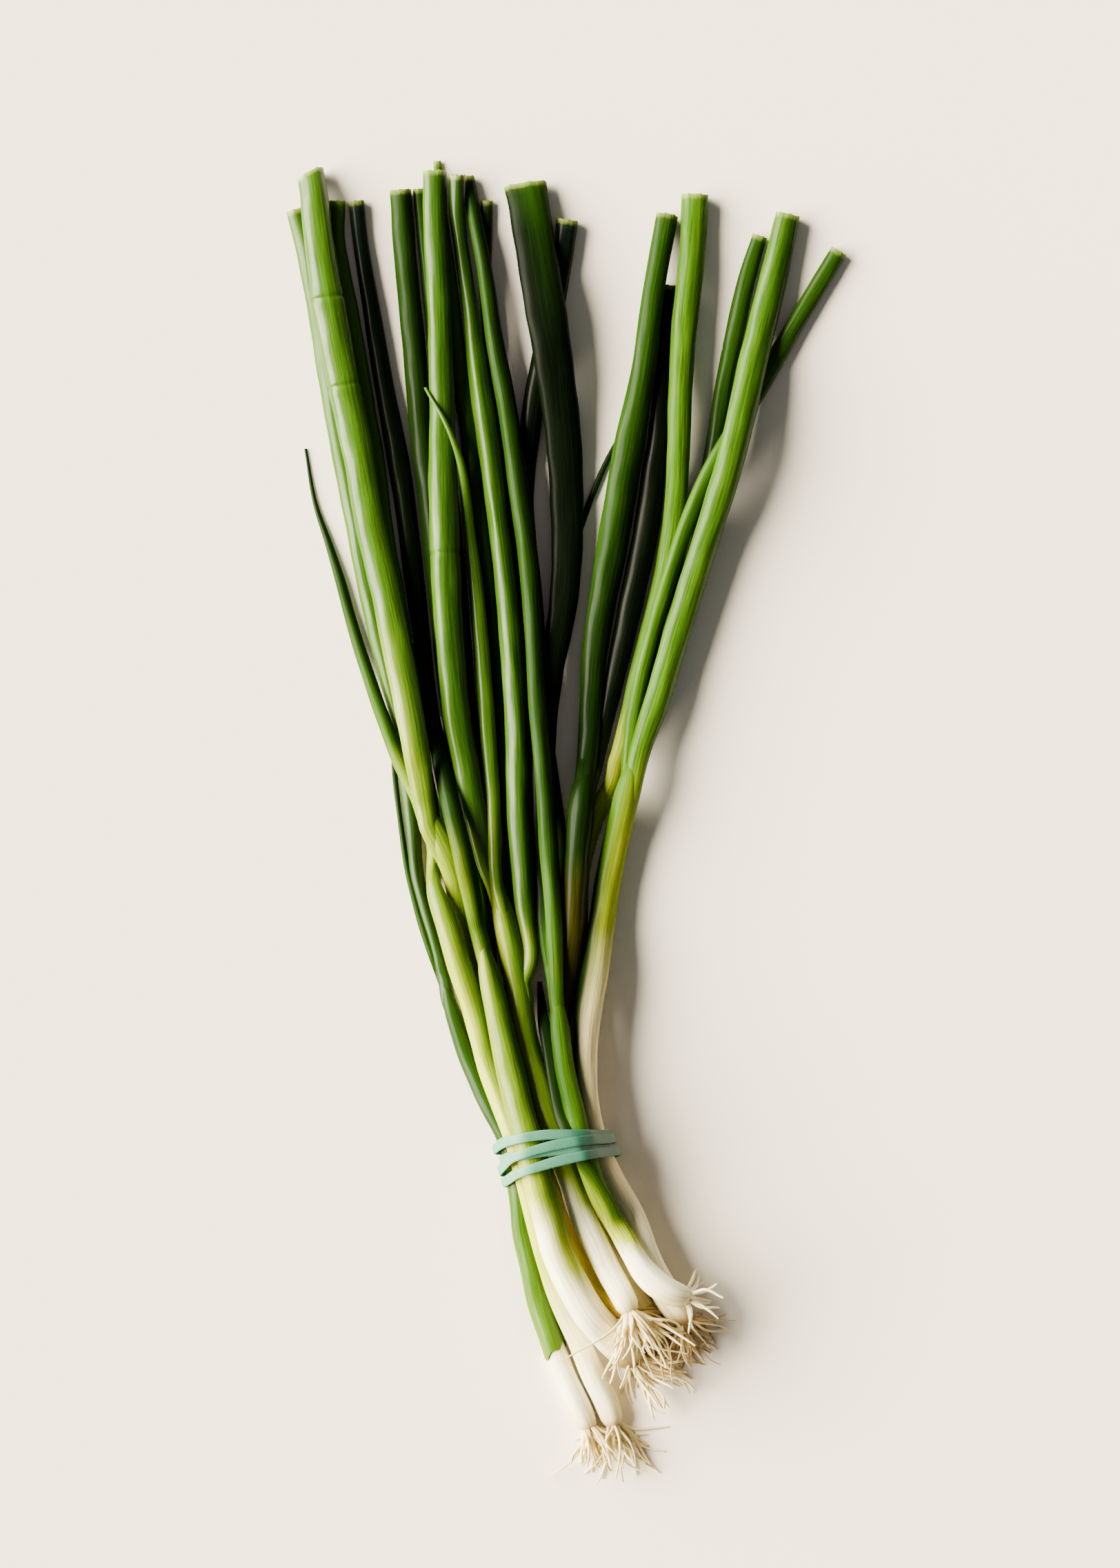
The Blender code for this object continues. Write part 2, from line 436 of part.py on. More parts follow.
def strand_rings(strand, lowest):
    """Elliptical rings along a strand, flattened at the lowest height, hollow at a cut end."""
    is_shank = strand["kind"] == "shank"
    sides = SHANK_SIDES if is_shank else LEAF_SIDES
    line, half = resample(strand, SHANK_STATION if is_shank else LEAF_STATION, BEND_STATION)
    way, level, upright = frames(line)
    turn = (np.arange(sides) + 0.5) * 2.0 * math.pi / sides - math.pi / 2.0
    out = np.cos(turn)[None, :, None] * level[:, None, :]
    lift = np.sin(turn)[None, :, None] * upright[:, None, :]
    rings = line[:, None, :] + half[:, None, None] * (out + strand["flat"] * lift)
    rings = list(rings)
    if strand["end"] == "cut":
        bore = half[-1] - LEAF_WALL
        tall = half[-1] * strand["flat"] - LEAF_WALL
        mouth = line[-1] + bore * out[-1] + tall * lift[-1]
        rings.append(mouth)
        rings.append(mouth - HOLLOW_DEPTH * way[-1])
    for ring in rings:
        ring[:, 2] = np.maximum(ring[:, 2], lowest)
    return rings


def root_lines(strands):
    """Root routes for each plant: they spread from the root plate and keep clear of the other plants."""
    draw = np.random.default_rng(ROOT_SEED)
    others = {}
    for plant in SCALLIONS:
        rest = [s for s in strands if s["plant"] != plant]
        others[plant] = (np.concatenate([s["points"] for s in rest]), np.concatenate([s["half"] for s in rest]))
    grown = {plant: [] for plant in SCALLIONS}
    for plant in SCALLIONS:
        shank = next(s for s in strands if s["plant"] == plant and s["kind"] == "shank")
        way, level, upright = frames(shank["points"])
        base, out = shank["points"][0], -way[0]
        for _ in range(ROOT_TRIES):
            turn = draw.uniform(0.0, 2.0 * math.pi)
            lean = ROOT_SPREAD * math.sqrt(draw.uniform(0.02, 1.0))
            length = draw.uniform(*ROOT_LENGTHS)
            droop = draw.uniform(*ROOT_DROOPS)
            if len(grown[plant]) == ROOTS_EACH:
                break
            side = math.cos(turn) * level[0] + math.sin(turn) * upright[0]
            start = base - ROOT_SINK * out + side * shank["half"][0] * ROOT_START * lean
            t = np.linspace(0.0, 1.0, ROOT_STEPS + 1)[:, None]
            heading = out + lean * side
            line = start + heading / np.linalg.norm(heading) * length * t
            line[:, 2] -= (droop * length * t * t)[:, 0]
            line[:, 2] = np.maximum(line[:, 2], SURFACE + ROOT_THICK / 2.0)
            near, wide = others[plant]
            fine = np.linspace(0.0, ROOT_STEPS, ROOT_CHECKS)
            check = np.stack([np.interp(fine, np.arange(ROOT_STEPS + 1), line[:, k]) for k in range(3)], axis=1)
            room = np.linalg.norm(check[:, None] - near[None], axis=2) - wide[None]
            clear = room.min() > ROOT_THICK / 2.0 + ROOT_ROOM
            for name, rows in grown.items():
                if name != plant and rows:
                    gap = np.linalg.norm(check[:, None] - np.concatenate([r[1] for r in rows])[None], axis=2)
                    clear = clear and gap.min() > ROOT_THICK + ROOT_APART
            if clear:
                grown[plant].append((line, check))
    return {plant: [row[0] for row in rows] for plant, rows in grown.items()}


def root_rings(line):
    """Rings along a root that narrows to its tip."""
    way, level, upright = frames(line)
    turn = (np.arange(ROOT_SIDES) + 0.5) * 2.0 * math.pi / ROOT_SIDES - math.pi / 2.0
    width = np.linspace(ROOT_THICK, ROOT_TIP * ROOT_THICK, len(line)) / 2.0
    out = np.cos(turn)[None, :, None] * level[:, None, :] + np.sin(turn)[None, :, None] * upright[:, None, :]
    rings = line[:, None, :] + width[:, None, None] * out
    rings[:, :, 2] = np.maximum(rings[:, :, 2], SURFACE + ROOT_CLEAR)
    return list(rings)


def bunch_outline(strands, slices, angles):
    """How far the bunch reaches from its middle at each slice along it and each angle round it."""
    across = np.array([BUNCH_WAY[1], -BUNCH_WAY[0]])
    found = []
    for along in slices:
        discs = []
        for s in strands:
            place = (s["points"][:, :2] - BAND_CENTRE) @ BUNCH_WAY
            if place.min() < along < place.max():
                k = int(np.argmin(np.abs(place - along)))
                side = (s["points"][k, :2] - BAND_CENTRE) @ across
                discs.append((side, s["points"][k, 2] - BAND_MIDDLE, s["half"][k]))
        found.append(reach_round(np.array(discs), angles))
    return np.array(found)


def reach_round(discs, angles):
    """The distance from the middle to the tight loop round some discs, with the band's clearance added."""
    normal = np.linspace(0.0, 2.0 * math.pi, LOOP_STEPS)
    u = np.stack([np.cos(normal), np.sin(normal)], axis=1)
    support = np.max(discs[:, :2] @ u.T + discs[:, 2:3], axis=0) + BAND_ROOM + BAND_THICK / 2.0 + BAND_LAYER
    owner = np.argmax(discs[:, :2] @ u.T + discs[:, 2:3], axis=0)
    loop = discs[owner, :2] + u * (support - np.sum(discs[owner, :2] * u, axis=1))[:, None]
    run = np.concatenate([[0.0], np.cumsum(np.linalg.norm(np.diff(loop, axis=0), axis=1))])
    even = np.linspace(0.0, run[-1], LOOP_STEPS)
    loop = np.stack([np.interp(even, run, loop[:, 0]), np.interp(even, run, loop[:, 1])], axis=1)
    around = np.unwrap(np.arctan2(loop[:, 1], loop[:, 0]))
    far = np.linalg.norm(loop, axis=1)
    order = np.argsort(around)
    return np.interp(angles, around[order], far[order], period=2.0 * math.pi)


def band_mesh(strands):
    """One flat strip wound four times round the shanks: its turns cross and lie over each other."""
    slices = np.linspace(-BAND_REACH, BAND_REACH, BAND_SLICES)
    angles = np.linspace(0.0, 2.0 * math.pi, BAND_ANGLES)
    reach = bunch_outline(strands, slices, angles)
    padded = np.pad(reach, ((1, 1), (0, 0)), mode="edge")
    reach = np.maximum(np.maximum(padded[:-2], padded[2:]), reach)
    turn = np.arange(BAND_STATIONS) / BAND_STATIONS * 2.0 * math.pi * BAND_TURNS
    phase = turn / BAND_TURNS + BAND_PHASE
    wide = BAND_SPREAD * (1.0 - BAND_UNEVEN * np.cos(turn))
    along = wide * np.cos(phase) + BAND_ARCH * np.sin(turn) - BAND_SLANT * np.cos(turn) - BAND_BACK
    slot = (along - slices[0]) / (slices[1] - slices[0])
    low = np.clip(slot.astype(int), 0, len(slices) - 2)
    here = np.array([np.interp(a % (2.0 * math.pi), angles, reach[k]) for a, k in zip(turn, low)])
    there = np.array([np.interp(a % (2.0 * math.pi), angles, reach[k + 1]) for a, k in zip(turn, low)])
    far = here + (there - here) * (slot - low) + BAND_LAYER * np.sin(phase)
    across = np.array([BUNCH_WAY[1], -BUNCH_WAY[0]])
    plan = BAND_CENTRE + along[:, None] * BUNCH_WAY + (far * np.cos(turn))[:, None] * across
    line = np.concatenate([plan, (BAND_MIDDLE + far * np.sin(turn))[:, None]], axis=1)
    way = np.roll(line, -1, axis=0) - np.roll(line, 1, axis=0)
    way /= np.linalg.norm(way, axis=1)[:, None]
    bunch = np.array([BUNCH_WAY[0], BUNCH_WAY[1], 0.0])
    edge = bunch - np.sum(way * bunch, axis=1)[:, None] * way
    edge /= np.linalg.norm(edge, axis=1)[:, None]
    out = np.cross(edge, way)
    rings = []
    for side, thick in ((1, 1), (-1, 1), (-1, -1), (1, -1)):
        rings.append(line + edge * side * BAND_WIDTH / 2.0 + out * thick * BAND_THICK / 2.0)
    rings = np.stack(rings, axis=1)
    rings[:, :, 2] = np.maximum(rings[:, :, 2], SURFACE)
    return ring_mesh("rubber_band", list(rings), ends_closed=False)


def plain_material(name, colour, roughness):
    """A Principled material of one colour."""
    material = bpy.data.materials.new(name)
    material.use_nodes = True
    shader = material.node_tree.nodes["Principled BSDF"]
    shader.inputs["Base Color"].default_value = (*colour, 1.0)
    shader.inputs["Roughness"].default_value = roughness
    shader.inputs["Metallic"].default_value = 0.0
    return material


def turn_outwards(mesh):
    """Turns the faces outwards if the mesh's volume comes out negative."""
    corners = np.array([v.co for v in mesh.vertices])
    mesh.calc_loop_triangles()
    tri = np.array([t.vertices for t in mesh.loop_triangles])
    a, b, c = corners[tri[:, 0]], corners[tri[:, 1]], corners[tri[:, 2]]
    if np.sum(a * np.cross(b, c)) < 0.0:
        mesh.flip_normals()


def fused(name, meshes, material):
    """One object whose mesh is the Boolean union of the given closed meshes."""
    for mesh in meshes:
        turn_outwards(mesh)
    base = bpy.data.objects.new(name, meshes[0])
    bpy.context.scene.collection.objects.link(base)
    group = bpy.data.collections.new(name + "_pieces")
    bpy.context.scene.collection.children.link(group)
    for mesh in meshes[1:]:
        group.objects.link(bpy.data.objects.new(mesh.name, mesh))
    union = base.modifiers.new("union", "BOOLEAN")
    union.operation = "UNION"
    union.operand_type = "COLLECTION"
    union.collection = group
    union.solver = "EXACT"
    bpy.context.view_layer.update()
    graph = bpy.context.evaluated_depsgraph_get()
    joined = bpy.data.meshes.new_from_object(base.evaluated_get(graph))
    base.modifiers.clear()
    base.data = joined
    for piece in list(group.objects):
        bpy.data.objects.remove(piece)
    bpy.data.collections.remove(group)
    joined.name = name
    joined.materials.clear()
    joined.materials.append(material)
    return base


def centre(objects):
    """Moves the meshes so that the origin is under the middle of the bunch, on the surface."""
    corners = np.concatenate([np.array([v.co for v in o.data.vertices]) for o in objects])
    low, high = corners.min(axis=0), corners.max(axis=0)
    shift = np.array([(low[0] + high[0]) / 2.0, (low[1] + high[1]) / 2.0, low[2]])
    for o in objects:
        moved = np.array([v.co for v in o.data.vertices]) - shift
        o.data.vertices.foreach_set("co", moved.ravel())
        o.data.update()
        o.data.shade_smooth()
        o.data.set_sharp_from_angle(angle=math.radians(CREASE))


def build():
    """Clears the scene and makes the nine scallions and their rubber band."""
    for o in list(bpy.data.objects):
        bpy.data.objects.remove(o)
    strands = lay(strands_of(SCALLIONS))
    roots = root_lines(strands)
    made = []
    for plant in SCALLIONS:
        meshes = []
        for s in strands:
            if s["plant"] == plant:
                lowest = SURFACE + FLAT_STEP * len(meshes)
                meshes.append(ring_mesh(plant + "_" + s["kind"], strand_rings(s, lowest)))
        meshes += [ring_mesh(plant + "_root", root_rings(line)) for line in roots[plant]]
        made.append(fused(plant, meshes, plain_material(plant, LEAF_GREEN, 0.42)))
    band = bpy.data.objects.new("rubber_band", band_mesh(strands))
    turn_outwards(band.data)
    band.data.materials.append(plain_material("rubber_band", BAND_TEAL, 0.55))
    bpy.context.scene.collection.objects.link(band)
    made.append(band)
    centre(made)


build()
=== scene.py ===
"""The looks of a bunch of nine scallions held by a rubber band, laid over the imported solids."""
import math

import bpy
import numpy as np
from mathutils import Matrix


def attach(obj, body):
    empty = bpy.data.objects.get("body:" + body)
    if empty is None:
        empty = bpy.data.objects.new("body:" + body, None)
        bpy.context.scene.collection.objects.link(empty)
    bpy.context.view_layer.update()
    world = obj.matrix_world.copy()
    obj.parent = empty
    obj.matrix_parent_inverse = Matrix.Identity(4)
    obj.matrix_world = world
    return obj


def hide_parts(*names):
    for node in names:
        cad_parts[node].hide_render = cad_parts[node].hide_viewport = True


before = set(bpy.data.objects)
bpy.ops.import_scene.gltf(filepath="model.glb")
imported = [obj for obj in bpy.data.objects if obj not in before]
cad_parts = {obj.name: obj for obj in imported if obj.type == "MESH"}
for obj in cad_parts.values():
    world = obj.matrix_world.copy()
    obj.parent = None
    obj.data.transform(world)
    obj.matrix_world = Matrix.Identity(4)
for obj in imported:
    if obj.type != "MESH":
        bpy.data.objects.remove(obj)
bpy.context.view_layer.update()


# The lie of the bunch. Nine scallions were gathered by hand, tied, cut to one length and put down, so
# their stems and leaves sink onto the surface and lean on each other. Routes are in millimetres, +Y
# towards the cut tops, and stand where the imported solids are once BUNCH_MIDDLE is taken off.
MM = 0.001
BUNCH_MIDDLE = np.array([-1.508921, 1.077458, 0.3])
# How the stems and leaves are laid over each other.
LAY_STEP = 3.0
LAY_GAP = 0.6
LAY_ROUNDS = 600
PAIR_ROUNDS = 20
PAIR_ALONG = 4.0
SINK_SHARE = 0.65
LAY_NEAR = 15.0
SINK_PER_ROUND = 0.1
HOLD_IN_PLAN = 0.14
PLAN_SHARE = 0.22
LOOSE_HOLD = 0.02
LOOSE_SHARE = 0.8
LOOSE_PLANTS = ("scallion_6", "scallion_8", "scallion_9")
LOOSE_BELOW = -62.0
START_RISE = 2.0
EASE = 0.5
LATE_EASE = 0.15
PUSH_MOST = 1.5
PUSH_SHARE = 0.35
WRAP_SHARE = 0.8
FORK_RUN = 45.0
HELD_POINTS = 3
SHANK_FLAT = 0.96
BAND_CENTRE = np.array([-4.3, -92.0])
BUNCH_WAY = np.array([-0.27, 0.963])
BUNCH_ACROSS = np.array([0.963, 0.27])
BAND_LIFT = 3.0
BAND_RISE = 1.8
BAND_REACH = 10.0

# Each row of a route is x, y, height and width, from the roots towards the leaf tops. A leaf row
# starts with how it ends, cut or pointed, and how flat it is.
SCALLIONS = {
    "scallion_1": {
        "shank": [
            (5.1, -169.5, 3, 5.0), (3.6, -165, 3, 6.0), (1.4, -160, 3.1, 6.2), (-0.9, -155, 3.2, 6.0),
            (-4.8, -145, 3.5, 5.8), (-8, -135, 4, 5.8), (-10.3, -125, 4.5, 5.8), (-12.4, -115, 5, 5.6),
            (-13.6, -105, 5.5, 5.4), (-15.1, -95, 6, 5.2), (-17.6, -88, 6, 5), (-22, -80, 6, 5),
            (-26.5, -70, 5.5, 5), (-30.3, -60, 5, 5), (-33.8, -50, 4.5, 5.2), (-36, -43, 4, 3),
        ],
        "leaves": [
            ("pointed", 0.85, [
                (-34.5, -48, 2.5, 3.2), (-37.9, -40, 2, 2.4), (-40.9, -30, 2, 2.2),
                (-43.9, -15, 2, 1.8), (-46.4, 0, 2, 1.5), (-48.4, 15, 1.5, 1.3), (-49, 20, 1.5, 0.8),
            ]),
            ("cut", 0.8, [
                (-34, -50, 4, 4.5), (-36, -40, 3.5, 3.6), (-38, -30, 3, 3.5), (-39.7, -20, 3, 3.6),
                (-40.8, -10, 3, 4), (-41.5, 0, 3, 4.5), (-43.3, 10, 3, 5), (-47.3, 30, 3, 5.8),
                (-52.3, 50, 3, 6), (-57, 70, 3, 6), (-61.2, 90, 3, 6), (-65, 110, 3, 6),
                (-68.2, 130, 3, 6), (-71.2, 150, 3, 6), (-73.2, 167.5, 3, 5.5),
            ]),
        ],
    },
    "scallion_2": {
        "shank": [
            (11.8, -168.5, 3.3, 5), (10.6, -165, 3.4, 6.4), (8.5, -160, 3.5, 6.8), (6, -155, 3.6, 6.8),
            (2, -145, 3.6, 6.4), (-2.5, -135, 3.8, 6.4), (-6.8, -122, 5, 6.4), (-9.2, -112, 6, 6.4),
            (-12, -100, 7.5, 6.3), (-14.5, -91, 8.5, 6.2), (-18.8, -80, 8, 6.2), (-22.4, -70, 7, 6.4),
            (-24.5, -60, 8.5, 6.5), (-26.5, -50, 9.5, 6.6), (-29.5, -40, 10, 6.8),
            (-32.8, -30, 9.5, 6.2), (-36, -20, 7, 5.8), (-38, -10, 3, 4),
        ],
        "leaves": [
            ("cut", 0.8, [
                (-36.8, -16, 3.2, 4.8), (-39.4, -2, 3.2, 5.2), (-40.6, 8, 3.4, 5.4),
                (-41.6, 18, 4, 5.6), (-44.6, 38, 5, 5.8), (-48, 58, 7, 5.8), (-51.6, 78, 7, 5.9),
                (-54.4, 98, 7, 6), (-57.8, 118, 7, 6), (-61.2, 138, 6.5, 5.6), (-63, 148, 6, 5),
                (-64.6, 158, 5.5, 4.4), (-64.8, 169, 5, 5.2),
            ]),
        ],
    },
    "scallion_3": {
        "shank": [
            (17.6, -150.6, 9, 6.5), (15.4, -147.6, 9, 9), (13.2, -145, 9, 9.5), (9.2, -140, 9.2, 9.4),
            (5.5, -135, 9.5, 9.3), (2.1, -130, 10, 9.2), (-3.3, -120, 11, 9), (-6.5, -110, 12, 8.6),
            (-9.6, -100, 13, 8.2), (-12, -90, 13.4, 8), (-14.6, -80, 13, 8), (-17, -70, 12.5, 8),
            (-19.5, -60, 13, 7.2), (-21.9, -50, 13, 6.6), (-23.9, -40, 13.5, 6.4), (-26, -30, 14, 4),
        ],
        "leaves": [
            ("cut", 0.8, [
                (-24.6, -37, 13.5, 5.4), (-27.2, -25, 14.5, 5.4), (-31, -10, 15.5, 5.8),
                (-33.7, 0, 15, 5.4), (-37.3, 20, 11, 4.8), (-40.2, 40, 5, 4.8), (-42.6, 60, 3, 5.4),
                (-45.2, 80, 3, 5.8), (-48.4, 100, 3, 6), (-52.2, 120, 3, 5.4), (-55.3, 140, 3, 4.9),
                (-58.4, 160, 3, 4.2), (-59.3, 169, 3, 4.5),
            ]),
            ("cut", 0.8, [
                (-22.8, -41, 10, 4), (-24.8, -28, 8.5, 4), (-27.2, -12, 6, 4), (-29.5, 0, 5, 4.5),
                (-31.5, 10, 4.5, 5), (-34.2, 30, 4, 5.5), (-36, 50, 4, 6), (-37.3, 70, 4, 6.4),
                (-39.2, 90, 4, 6.4), (-41.6, 110, 4, 6.4), (-43.5, 130, 4, 6.4), (-45.3, 150, 4, 6.4),
                (-46.9, 172, 4, 6.2),
            ]),
            ("cut", 0.8, [
                (-22.4, -44, 9, 3.6), (-24, -20, 4, 3.6), (-26.5, 0, 3, 4), (-29, 30, 3, 4),
                (-32, 70, 3, 4.2), (-35.5, 110, 3, 4.2), (-38.8, 142, 3, 4), (-41, 160, 3.4, 3.4),
                (-42.5, 172.3, 3.4, 3),
            ]),
        ],
    },
    "scallion_4": {
        "shank": [
            (16.4, -136.8, 12, 5), (15.5, -134.5, 12, 6.2), (13.3, -130, 12, 6.8), (10.7, -125, 12, 7),
            (6.2, -115, 12.2, 7.1), (2.3, -105, 12.8, 7), (-2, -95, 13, 6.8), (-5.4, -85, 13, 6.6),
            (-9.8, -70, 12, 6.5), (-12.3, -60, 12, 6.7), (-14.3, -50, 12, 7.2), (-16.3, -42, 12, 7.2),
            (-18.4, -33, 12, 6.8), (-20.6, -23, 12, 6.8), (-22.4, -14, 12, 4.4),
        ],
        "leaves": [
            ("cut", 0.78, [
                (-21.4, -20, 12, 5.6), (-25.3, -8, 13, 6), (-27.4, 0, 13, 6.6), (-29.8, 10, 13, 7),
                (-31.3, 20, 13, 7.3), (-33, 40, 13, 7.6), (-34.3, 60, 13, 8), (-34.8, 80, 13, 8.2),
                (-35.2, 100, 12, 7.4), (-36, 120, 11, 6.8), (-36.4, 140, 10, 6.6),
                (-37.2, 160, 9, 6.5), (-37.3, 177, 8, 6.5),
            ]),
            ("pointed", 0.85, [
                (-21, -20, 14, 4), (-21.3, -8, 16, 3.9), (-21.6, 4, 17, 4.2), (-22.7, 20, 18, 4.6),
                (-24.2, 40, 18, 4.6), (-25.9, 60, 18, 4.2), (-28.7, 80, 18, 3.4),
                (-32.1, 100, 18, 1.9), (-35.9, 110, 17.5, 1.2), (-40, 117.3, 17, 0.8),
            ]),
            ("cut", 0.8, [
                (-15.6, -46, 13, 5), (-13.2, -38, 13, 5), (-12.6, -30, 13, 5.2), (-12.4, -20, 13, 6),
                (-13, 0, 13, 6.6), (-14.3, 20, 13, 6.8), (-15.9, 40, 13, 6.4), (-17.6, 60, 12, 6.2),
                (-20, 80, 12, 5.8), (-22.4, 100, 11, 6.4), (-25.6, 120, 10, 6), (-28.2, 140, 9, 4.4),
                (-30.6, 160, 7.5, 4.2), (-31.9, 176, 7, 4.6),
            ]),
            ("cut", 0.8, [
                (-17.4, -37, 10, 4), (-17.4, -20, 6, 4.4), (-18.4, 0, 4.5, 4.6), (-20.4, 30, 4, 4.6),
                (-23, 60, 4, 4.8), (-26, 85, 4, 5), (-28, 105, 4.5, 5), (-30.5, 125, 5, 4.6),
                (-32.8, 147, 5, 3.4), (-35, 163, 4.5, 2.4), (-37.1, 180, 4, 2.2),
            ]),
        ],
    },
    "scallion_5": {
        "shank": [
            (31.8, -131.7, 14, 5.2), (29, -131.3, 14, 6.6), (25.5, -130, 14, 7.4),
            (22.2, -127.8, 13.5, 7.4), (19.4, -124.6, 13, 7), (17.2, -120.5, 12.5, 6.4),
            (12, -110, 11.5, 6), (6.4, -99, 10.8, 6), (1.8, -87.5, 10.8, 5.8), (-1.6, -73, 10, 5.4),
            (-3.5, -56, 10, 5.3), (-4.3, -42, 10, 3.6),
        ],
        "leaves": [
            ("cut", 0.8, [
                (-4, -49, 10.3, 4.4), (-4.2, -38, 10.3, 4.6), (-4.6, -26, 10, 4.8), (-6, -10, 10, 5.4),
                (-7.4, 10, 9.5, 5), (-9.1, 30, 9, 5), (-10.3, 50, 9, 5), (-11.8, 70, 9, 5.6),
                (-14.7, 90, 8.5, 5.5), (-17.5, 110, 8, 5.5), (-21.2, 130, 7.5, 5),
                (-24.2, 150, 7, 4.2), (-27.8, 167, 6.5, 4), (-29.3, 175.5, 6.5, 4),
            ]),
            ("cut", 0.5, [
                (-4.6, -46, 8.5, 4), (-6.6, -30, 6.5, 4.5), (-7.8, -12, 6, 5), (-8, 8, 6, 5.8),
                (-7.6, 28, 5.5, 6.5), (-6.2, 40, 5.5, 7), (-4, 50, 5, 7.2), (-2.2, 60, 5, 7.7),
                (-1.1, 78, 5, 8.8), (-2, 98, 5, 9.6), (-4.5, 120, 5, 10.4), (-7.4, 141, 5, 11.2),
                (-10.4, 160, 4.5, 11), (-12.7, 173.5, 4, 11.4),
            ]),
            ("pointed", 0.8, [
                (-5.4, -44, 7.5, 2.4), (-7.4, -20, 3.5, 2.4), (-7.4, 10, 2, 2.2), (-4.6, 45, 1.6, 2),
                (-1.2, 67, 1.6, 2), (2.6, 80, 2, 1.8), (6, 89, 2.5, 1.7), (10, 98, 2.5, 1.5),
                (14.5, 105.5, 2.5, 1.3), (20, 112, 2.5, 0.8),
            ]),
            ("cut", 0.8, [
                (-5.2, -46, 8.5, 3), (-9, -20, 3.5, 3.4), (-12, 10, 3, 3.8), (-15, 50, 3, 4),
                (-18.5, 90, 3, 4), (-22, 125, 3, 4), (-24.6, 150, 3, 3.6), (-25.8, 169, 3, 3.4),
            ]),
        ],
        "wraps": [
            ("pointed", 0.4, [
                (12.9, -112, 14.5, 6), (11.4, -107.5, 14.6, 4.6), (7.5, -100, 14.2, 3.6),
                (4, -94, 14, 3.4), (1.3, -88, 14, 3.3), (-0.9, -82, 13.6, 3.4), (-3.7, -71, 13, 3.5),
                (-5.4, -62, 12.4, 3.4), (-6.9, -54, 12, 2.8), (-8.8, -46, 11.4, 1.2),
            ]),
        ],
    },
    "scallion_6": {
        "shank": [
            (15.8, -140.5, 5, 5), (13.6, -137.3, 5, 7), (11.2, -133.3, 5, 7.4), (8.6, -129, 5, 7.3),
            (3.3, -120, 5, 7), (-0.2, -110, 5, 6.9), (-3.6, -100, 5.4, 6.7), (-7.2, -90, 5.6, 6.7),
            (-11, -80, 5, 6.7), (-14.3, -70, 5, 6.7), (-17.4, -60, 4, 6.7), (-20.5, -50, 4, 6.7),
            (-23.8, -40, 4, 6.6), (-27.4, -30, 4.5, 6.6), (-31.4, -20, 6, 6.7), (-35.1, -10, 10, 6.9),
            (-38.7, 0, 11, 6.8), (-40.6, 6, 11.5, 4.4),
        ],
        "leaves": [
            ("cut", 0.8, [
                (-39.2, -3, 11.5, 6), (-42.8, 20, 11.5, 7.5), (-46.6, 40, 11.5, 8),
                (-50.7, 60, 11, 8.1), (-55.2, 80, 11, 8.3), (-58.7, 100, 10.5, 8.5), (-63, 120, 10, 9),
                (-66.8, 140, 9, 8.9), (-70, 160, 8, 8), (-71.8, 176, 7.5, 7.6),
            ]),
            ("pointed", 0.85, [
                (-40.4, -2, 11, 3.6), (-43.2, 7, 10, 3.8), (-46.6, 15, 9, 4.1), (-50.3, 25, 8, 4),
                (-54.1, 35, 7, 3.7), (-57.8, 45, 6, 3.5), (-61, 55, 5.5, 3.2), (-63.8, 65, 5, 2.8),
                (-67, 75, 4.5, 2.1), (-70.4, 85, 4, 1.4), (-73.3, 101, 3.5, 0.8),
            ]),
        ],
    },
    "scallion_7": {
        "shank": [
            (31.2, -139.2, 4, 5), (29.5, -136.5, 4, 7.2), (27, -133, 4, 8), (23.8, -128.5, 4.2, 7.6),
            (18.5, -119.5, 5.2, 7), (13.4, -109.5, 6.8, 6.9), (8.7, -99.5, 8, 6.8), (5, -89, 8.5, 6.6),
            (3, -78, 8.3, 6.6), (2.6, -70, 8, 6.8), (2.8, -60, 8, 7.2), (5, -40, 8, 7.6),
            (7, -30, 8, 7.2), (9, -20, 8.5, 7.2), (13.3, 0, 9.5, 7.2), (15.4, 11, 10.2, 7.6),
            (17.2, 19, 10.4, 4.6),
        ],
        "leaves": [
            ("cut", 0.8, [
                (16.4, 9, 10.6, 5.5), (19.2, 20, 11, 6.5), (22.4, 29, 12, 6.8), (25.6, 39.5, 12, 7.2),
                (28.5, 50, 12, 7.4), (34.6, 70, 12, 7.3), (40.8, 90, 11.5, 7.6), (45.9, 108, 11, 7.9),
                (50.6, 127, 10, 8), (55.3, 147, 9, 7.6), (59.6, 165.2, 8, 6.7),
            ]),
            ("cut", 0.8, [
                (14.4, 10, 9.8, 3.6), (16.4, 25, 9, 3.9), (19.6, 40, 8.5, 4), (25.4, 60, 8, 4.2),
                (31.8, 80, 8, 4.5), (39.6, 97.5, 7.5, 4.8), (48.4, 112.5, 6.5, 4.8),
                (56, 126, 5.5, 5.2), (61.3, 135, 5, 4.8), (67.4, 145, 4, 4.8), (73.5, 155.2, 4, 4.8),
            ]),
        ],
    },
    "scallion_8": {
        "shank": [
            (23, -146.5, 4, 5.4), (20.6, -142, 4, 7.2), (16.8, -135, 4, 7), (10.5, -122, 4.2, 6.6),
            (4.4, -108, 5, 6.4), (-0.6, -95, 6, 6.2), (-3.2, -80, 6, 6.2), (-2.8, -60, 5.5, 6.2),
            (-1.2, -42, 5.5, 6.3), (0, -30, 6, 6.4), (1.7, -10, 7, 6.8), (2.9, 0, 8, 7.4),
            (4.2, 10, 8.5, 7.6), (5.6, 18, 9, 5),
        ],
        "leaves": [
            ("cut", 0.8, [
                (3.8, 9, 9, 6), (4.9, 22, 9.5, 6.4), (6.2, 40, 10, 6.8), (9.2, 60, 10, 7.8),
                (12.7, 80, 10, 8.6), (16.2, 100, 9.5, 8.4), (19.8, 120, 9, 7), (22.5, 140, 8, 6.2),
                (26.4, 165, 7, 6),
            ]),
            ("cut", 0.8, [
